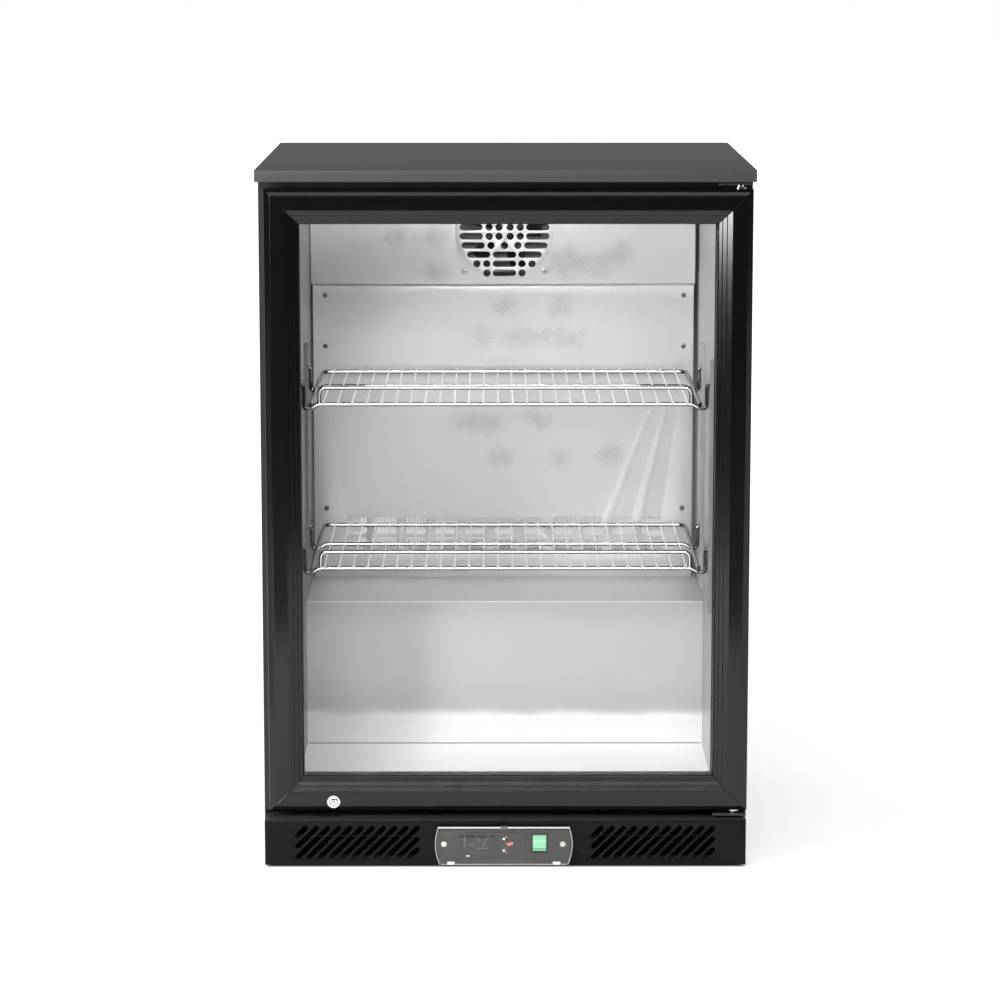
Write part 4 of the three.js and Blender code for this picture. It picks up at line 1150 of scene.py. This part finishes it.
# %% Clear cover
FACE, WALL, RIM = -7.0, 1.2, 0.85
tray = plate("cover_tray", bowed(0), FACE, -1.25)
cut(tray, [plate("pocket", bowed(WALL), FACE + WALL, 4)])
cut(tray, [block("relief", (CONTROL_X - 90, CONTROL_X + 90), (LUG["pin_y"] + 1.5, 4), (0, 6))])
for side in (-1, 1):
    middle = CONTROL_X + side * LUG["reach"]
    cut(tray, [block("notch", (middle - 5, middle + 5), (FACE - 1, 0), (0, 9))])
soften(tray, 0.5, 3)
tab = soften(block("tab", (CONTROL_X - 4, CONTROL_X + 4.5), (FACE - 0.4, -1.3), (48.8, 53)), 0.4, 2)
pins = [rod("pin", (x - 6, x + 6), LUG["pin_y"], LUG["pin_z"], 1.25, 24)
        for x in (CONTROL_X - LUG["reach"], CONTROL_X + LUG["reach"])]
rim = plate("cover_rim", bowed(0), FACE - 0.15, FACE + 0.7)
inside = bowed(RIM)
foot_z = min(z for _, z in inside)
inside = [(x, z if z > foot_z + 0.01 else -6) for x, z in inside]
cut(rim, [plate("hole", inside, FACE - 2, FACE + 2)])
# Painted highlight: the upward faces glow white, the other faces of the rim glow grey.
paint(tray, cover_clear, cover_edge_highlight)
for face in tray.data.polygons:
    face.material_index = int(face.normal.z > 0.5)
paint(rim, cover_edge_highlight, cover_side_glow)
for face in rim.data.polygons:
    face.material_index = int(face.normal.z < 0.5)
paint(tab, tab_smoke)
for pin in pins:
    paint(pin, cover_clear)
cover = joined("clear_cover", [tray, rim, tab] + pins)
ready(cover, None, "control_cover", "clear_plastic", "control_cover")
print("cover faces:", len(cover.data.polygons))

# %% [markdown]
# The display window still wears its thin film, whose creases catch the light; these crease
# highlights are painted as fine pale bent rods pressed nearly flat on it. The keys carry plain
# raised arrows, bars and dots.

# %% Display, keys and marks
face_y = span("controller")[1][0]
display = block("display_window", (cx0 + 6, cx0 + 50), (face_y - 0.5, face_y + 0.1),
                (cz0 + 8, cz1 - 3))
ready(soften(display, 0.4, 2), display_glass, "cabinet", "black_plastic")
left, top, skin = cx0 + 6, cz1 - 3, face_y - 0.55
CREASES = [[(7.6, 0.6), (6.6, 9), (7.6, 17)], [(22, 0.5), (22.6, 5), (25, 8)],
           [(37.5, 0.4), (31, 7), (28, 17)], [(21, 17.2), (35, 17)], [(13, 11.5), (19, 15)]]
creases = joined("film_creases", [
    bent_rod("crease", [(left + x, skin, top - z) for x, z in line], 0.7, 5, 2)
    for line in CREASES])
onto = Vector((0, at(0, skin, 0).y, 0))
creases.data.transform(Matrix.Translation(onto) @ Matrix.Diagonal((1, 0.3, 1, 1))
                       @ Matrix.Translation(-onto))
# Painted highlight: the creases are pale rods.
ready(creases, crease_highlight_film, "cabinet", "clear_plastic")


def arrow(name, key, up):
    """A small raised triangle on a key."""
    x, _, z = mid_point(key)
    key_y, tip = span(key)[1][0], 1.9 if up else -1.9
    made = plate(name, [(x - 2.0, z - tip * 0.7), (x + 2.0, z - tip * 0.7), (x, z + tip)],
                 key_y - 0.2, key_y + 0.05)
    soften(made, 0.15, 2)
    return ready(made, mark_white, key, "grey_plastic")


arrow("arrow_up", "key_up", True)
arrow("arrow_down", "key_down", False)


def dot(name, x, z, width, height, turn, material, body="cabinet", y=None):
    """A small raised oval."""
    y = face_y if y is None else y
    made = rod(name, 0, (-0.25, 0.05), 0, 1, 24)
    made.data.transform(Matrix.Translation((0, -FRONT, 0)))
    made.data.transform(Matrix.Diagonal((width / 2, 1, height / 2, 1)))
    made.data.transform(Matrix.Rotation(turn, 4, "Y"))
    made.data.transform(Matrix.Translation(at(x, y, z)))
    soften(made, 0.1, 2)
    return ready(made, material, body, "grey_plastic")


dot("heat_mark", CONTROL_X + 6.5, 29, 6.2, 3.6, 0.15, mark_red)
dot("heat_mark_bar", CONTROL_X + 10, 30.5, 3.6, 0.8, 0.7, mark_white)
for key, rise, turn in (("key_up", 2.3, -0.7), ("key_down", -2.1, 0.7)):
    x, _, z = mid_point(key)
    dot(f"tick_{key}", x + 3.3, z + rise, 1.6, 0.8, turn, mark_white, key, span(key)[1][0])
key_face = span("key_set")[1][0]
set_x, _, set_z = mid_point("key_set")
dot("set_mark", set_x - 0.6, set_z, 3.0, 1.7, -0.4, mark_white, "key_set", key_face)
dot("set_mark_small", set_x + 2.0, set_z - 0.4, 1.2, 1.0, 0, mark_white, "key_set", key_face)

# %% [markdown]
# The rocker is one dished section run along X. Two painted bands by height finish it: a dark
# line at its foot, painted shade in the groove where it meets the frame, and a pale band where
# the dish turns up to the light, a painted highlight. Its finish also glows a little, a painted
# light.

# %% Rocker switch
(rx0, rx1), _, (rz0, rz1) = span("switch_rocker")
mid = (rz0 + rz1) / 2
dished = [(-4 + 2 * sin(pi / 2 * i / 6), rz1 - 8.5 * i / 6) for i in range(7)]
rocker_section = dished + [
    (-2.0, mid - 1.5), (-1.9, mid - 5), (-1.8, rz0 + 3.0), (-0.3, rz0 + 2.8),
    (-0.3, rz0 + 2.2), (-2.6, rz0 + 1.9), (-2.6, rz0 + 0.6), (-1.8, rz0), (1.5, rz0),
    (6, mid - 3), (6, mid + 3), (1.5, rz1)]
rocker = soften(bar("rocker", rocker_section, rx0, rx1), 0.35, 3, 25)
ready(rocker, rocker_green, "switch_rocker", "green_plastic", "switch_rocker")


def green_band(low, full, fade, high, most, colour):
    """A soft band of painted light across the rocker, dark for shade or pale for a highlight,
    between heights in millimetres.
    """
    tree = rocker_green.node_tree
    _, _, height = axes(rocker_green)
    light_and_shade_band = combine(tree, "MULTIPLY", ramp_between(tree, height, low * MM, full * MM),
                   ramp_between(tree, height, fade * MM, high * MM, most, 0.0))
    recolour(rocker_green, light_and_shade_band, colour)


# Painted shade in the groove at the foot of the rocker.
green_band(rz0 + 1.7, rz0 + 2.1, rz0 + 3.0, rz0 + 3.5, 0.75, (0.10, 0.32, 0.17))
# Painted highlight where the dish turns up to the light.
green_band(rz1 - 10, rz1 - 7.5, rz1 - 7.2, rz1 - 5.5, 0.55, (0.80, 1.0, 0.86))

# %% [markdown]
# ## Hinge screws and the back of the cabinet
# The back is plain work: a coated sheet held by screws, two pressed beads that stiffen it, and a
# lower panel with hooded louvres that let the warm air out.

# %% Screws on the hinges
for name, x, z, size, turn in (("hinge_screw_top_1", 266, 836.6, 0.55, 0.7),
                               ("hinge_screw_top_2", 270.5, 836.6, 0.4, 0.1),
                               ("hinge_screw_bottom", 259, 66.3, 0.5, 0.2)):
    screw(name, x, 44.2, z, size, turn=turn, slot="chrome", material=bright_chrome)

# %% Rear louvres
(bx0, bx1), (by0, by1), (bz0, bz1) = span("rear_grille")
rear = block("rear_panel", (bx0, bx1), (by0, by1), (bz0, bz1))
LOUVRE = {"rows": 7, "pitch": 26, "first": 60, "half": 75, "column": 180, "height": 8}
# This bore is cut in line with the lower key, and the gland stands clear of it on the sheet.
bore_x, _, bore_z = mid_point("key_down")
openings = [rod("bore", bore_x, (by0 - 5, by1 + 5), bore_z, 6.25)]
hood_section = arc(by1 - 0.2, 0, 3.3, 0, 90) + arc(by1 - 0.2, 0, 2.6, 90, 0)
hood_section = [(y, z * 2.6) for y, z in hood_section]
hoods = []
for row in range(LOUVRE["rows"]):
    for column in (-1, 0, 1):
        z = LOUVRE["first"] + row * LOUVRE["pitch"]
        x0, x1 = [column * LOUVRE["column"] + side * LOUVRE["half"] for side in (-1, 1)]
        openings.append(block("gap", (x0, x1), (by0 - 5, by1 + 5), (z, z + LOUVRE["height"])))
        hoods.append(bar("hood", [(y, z + h) for y, h in hood_section], x0, x1))
cut(rear, openings)
rear = joined("rear_panel", [soften(rear, 0.3, 2)] + hoods)
ready(rear, casing_coat, "cabinet", "black_steel", "rear_grille")
print("rear panel faces:", len(rear.data.polygons))

# %% Beads and screws on the back
back_y = span("casing_back")[1][1]
for i, z in enumerate((400, 600)):
    bead = block(f"back_bead_{i + 1}", (-230, 230), (back_y - 0.2, back_y + 1.3), (z - 7, z + 7))
    ready(soften(bead, 1.2, 4), casing_coat, "cabinet", "black_steel")
for i, x in enumerate((-285, -95, 95, 285)):
    for j, (y, z) in enumerate(((back_y, 830), (back_y, 262), (by1, 240), (by1, 18))):
        screw(f"back_screw_{i + 1}_{j + 1}", x, y, z, 0.85, pi, 0.3 * i + j,
              slot="black_steel")
for j, z in enumerate((450, 640)):
    for i, x in enumerate((-285, 285)):
        screw(f"back_edge_screw_{i + 1}_{j + 1}", x, back_y, z, 0.85, pi, 0.5 * i + j,
              slot="black_steel")

# %% [markdown]
# ## Behind the louvres
# The compressor can, its terminal cover and the copper pipes show through the louvres and, a
# little, through the plinth. The fan wheels have real twisted blades.

# %% Compressor
(mx0, mx1), _, (mz0, _) = span("compressor")
can_x, can_y = -180.0, 395.0
can = turned("compressor_can", [
    (0, 5), (58, 5), (70, 12), (73, 22), (73.5, 58), (75, 60), (75, 64), (73.5, 66), (73, 100),
    (69, 122), (58, 138), (40, 149), (18, 155), (0, 157)], (can_x, can_y, mz0), "Z", 64)
base = soften(block("compressor_base", (mx0, mx1), (350, 440), (mz0, mz0 + 6)), 1.5)
box_cover = block("terminal_cover", (can_x + 66, can_x + 84), (can_y - 25, can_y + 20),
                  (mz0 + 40, mz0 + 95))
compressor = joined("compressor_unit", [can, base, soften(box_cover, 3, 4)])
ready(compressor, cast_black, "cabinet", "cast", "compressor")
print("compressor faces:", len(compressor.data.polygons))

# %% Pipes and coil bends
(ax0, ax1), _, (az0, _) = span("condenser")
pipes = [
    bent_rod("pipe", [(-140, 395, mz0 + 140), (-140, 395, 235), (-100, 320, 238),
                      (40, 320, 238), (58, 320, 200), (70, 320, 200)], 3.2, 18),
    bent_rod("pipe", [(-200, 395, mz0 + 150), (-200, 395, 230), (-250, 440, 240),
                      (-250, 480, 240), (-250, 480, 120), (-236, 470, 100)], 3.2, 18),
]
for i in range(4):
    z = az0 + 22 + i * 48
    for x, out in ((ax1, 1), (ax0, -1)):
        y = 305 if out > 0 else 335
        pipes.append(bent_rod("bend", [
            (x - out * 2, y, z), (x + out * 12, y, z), (x + out * 12, y, z + 24),
            (x - out * 2, y, z + 24)], 4, 12))
pipework = joined("pipework", pipes)
ready(pipework, copper, "cabinet", "aluminium")
print("pipework faces:", len(pipework.data.polygons))

# %% Fan wheels
def wheel(name, node, body, count, pitch, hub):
    """A moulded fan wheel: a domed hub and twisted blades."""
    axle = Vector(next(j for j in frame["joints"] if j["child"] == body)["pos_m"])
    tip = max((vertex.co - axle).xz.length for vertex in nodes[node].data.vertices) / MM
    blades = []
    for i in range(count):
        bpy.ops.object.select_all(action="DESELECT")
        bpy.ops.mesh.primitive_grid_add(x_subdivisions=10, y_subdivisions=8, size=1)
        blade = bpy.context.object
        for vertex in blade.data.vertices:
            u, v = vertex.co.x + 0.5, vertex.co.y
            radius = hub - 2 + u * (tip - hub - 1)
            width = radius * (0.50 + 0.25 * sin(pi * u))
            twist = pitch * (1.25 - 0.5 * u)
            across = v * width
            vertex.co = Vector((radius, -across * sin(twist) - 0.06 * across * across / tip,
                                across * cos(twist) + radius * 0.1 * u)) * MM
        blade.data.transform(Matrix.Rotation(2 * pi * i / count, 4, "Y"))
        modify(blade, "SOLIDIFY", thickness=1.6 * MM, offset=0)
        blades.append(blade)
    boss = turned("hub", [
        (0, -8), (hub * 0.7, -8), (hub * 0.94, -6.5), (hub, -4), (hub, 8), (0, 8)],
        (0, 0, 0), "Y")
    boss.data.transform(Matrix.Translation((0, -FRONT, 0)))
    made = joined(name, [boss] + blades)
    made.data.transform(Matrix.Translation(axle))
    soften(made, 0.3, 1, 45)
    return ready(made, moulded_black, body, "black_plastic", node)


wheel("evaporator_fan_wheel", "fan_blade", "fan_blade", 5, 0.6, 17)
wheel("condenser_fan_wheel", "condenser_fan_blade", "condenser_fan_blade", 5, 0.5, 24)
bpy.data.objects.remove(pattern)

# %% [markdown]
# ## Studio
# A pale floor and a white wall of light stand behind the cooler. Black gloss shows the room, so
# the floor glows less far in front and beside the cooler, which keeps the black profile black,
# and under the cabinet the floor is painted dark, a painted shadow. A tall softbox on the left
# draws bright lines down the reeds of the right stile, and a wide one in front lights the plinth
# and the worktop.

# %% Floor
bpy.ops.object.select_all(action="DESELECT")
bpy.ops.mesh.primitive_plane_add(size=60, location=(0, 0, -0.0005))
floor = settle(bpy.context.object, "studio_floor")
floor_white = finish("floor_white", 0.86, 0.88, (0.7, 0.8), grain=2, relief=0.0,
                     Specular_IOR_Level=0.1)
floor.data.materials.append(floor_white)

# %% Where the floor glows
tree = floor_white.node_tree
x, y, _ = axes(floor_white)
outside = combine(tree, "MAXIMUM",
                  ramp_between(tree, combine(tree, "ABSOLUTE", x), 0.285, 0.302),
                  ramp_between(tree, combine(tree, "ABSOLUTE", y), 0.245, 0.262))
near = ramp_between(tree, y, -1.9, -1.45)
aside = combine(tree, "ADD", x, combine(tree, "MULTIPLY", y, 0.2))
aside = ramp_between(tree, aside, -1.5, -1.0, 0.25, 1.0)
rising = ramp_between(tree, y, -0.6, 3.0, 0.55, 1.15)
glow = combine(tree, "MULTIPLY", combine(tree, "MULTIPLY", outside, aside),
               combine(tree, "MULTIPLY", near, rising))
recolour(floor_white, combine(tree, "LESS_THAN", near, 0.5), 0.20)
# Painted shadow: the floor under the cabinet is painted near black.
recolour(floor_white, combine(tree, "LESS_THAN", outside, 0.5), 0.03)
tree.links.new(glow, tree.nodes["Principled BSDF"].inputs["Emission Strength"])

# %% World: white to look at, dim as a light
world = bpy.data.worlds.new("studio")
bpy.context.scene.world = world
world.use_nodes = True
sky = world.node_tree
direction = sky.nodes.new("ShaderNodeTexCoord")
split = sky.nodes.new("ShaderNodeSeparateXYZ")
path = sky.nodes.new("ShaderNodeLightPath")
sky.links.new(direction.outputs["Generated"], split.inputs["Vector"])
shade = ramp_between(sky, split.outputs["Y"], -0.5, 0.9, 0.14, 0.42)
sky.links.new(combine(sky, "MAXIMUM", path.outputs["Is Camera Ray"], shade),
              sky.nodes["Background"].inputs["Strength"])
sky.nodes["Background"].inputs["Color"].default_value = (1, 1, 1, 1)

# %% Softboxes
def softbox(name, place, look_at, width, height, power):
    """A rectangular light that stands at a place and looks at a point."""
    light = bpy.data.lights.new(name, "AREA")
    light.shape = "RECTANGLE"
    light.size, light.size_y, light.energy = width, height, power
    stand = bpy.data.objects.new(name, light)
    bpy.context.scene.collection.objects.link(stand)
    stand.location = place
    aim = Vector(look_at) - Vector(place)
    stand.rotation_euler = aim.to_track_quat("-Z", "Y").to_euler()


softbox("front_softbox", (-0.1, -3.3, 2.0), (0, -0.2, 0.45), 2.2, 0.45, 54)
softbox("left_softbox", (-1.9, -2.25, 1.16), (0.28, -0.25, 1.0), 0.5, 1.3, 62)
softbox("top_softbox", (0.2, -0.6, 2.6), (0, 0, 0.8), 1.6, 1.0, 9)

# %% [markdown]
# ## Camera
# The camera stands a little over four metres away, above the middle of the door, and looks
# down by about nine degrees, which shows the worktop as a narrow dark band.

# %% Camera
camera_data = bpy.data.cameras.new("camera")
camera_data.lens = 124.6
camera = bpy.data.objects.new("camera", camera_data)
bpy.context.scene.collection.objects.link(camera)
camera.location = at(-16, -4132, 1145)
camera.rotation_euler = (radians(90 - 9.44), 0, radians(-0.13))
bpy.context.scene.camera = camera
bpy.context.scene.view_settings.view_transform = "Standard"
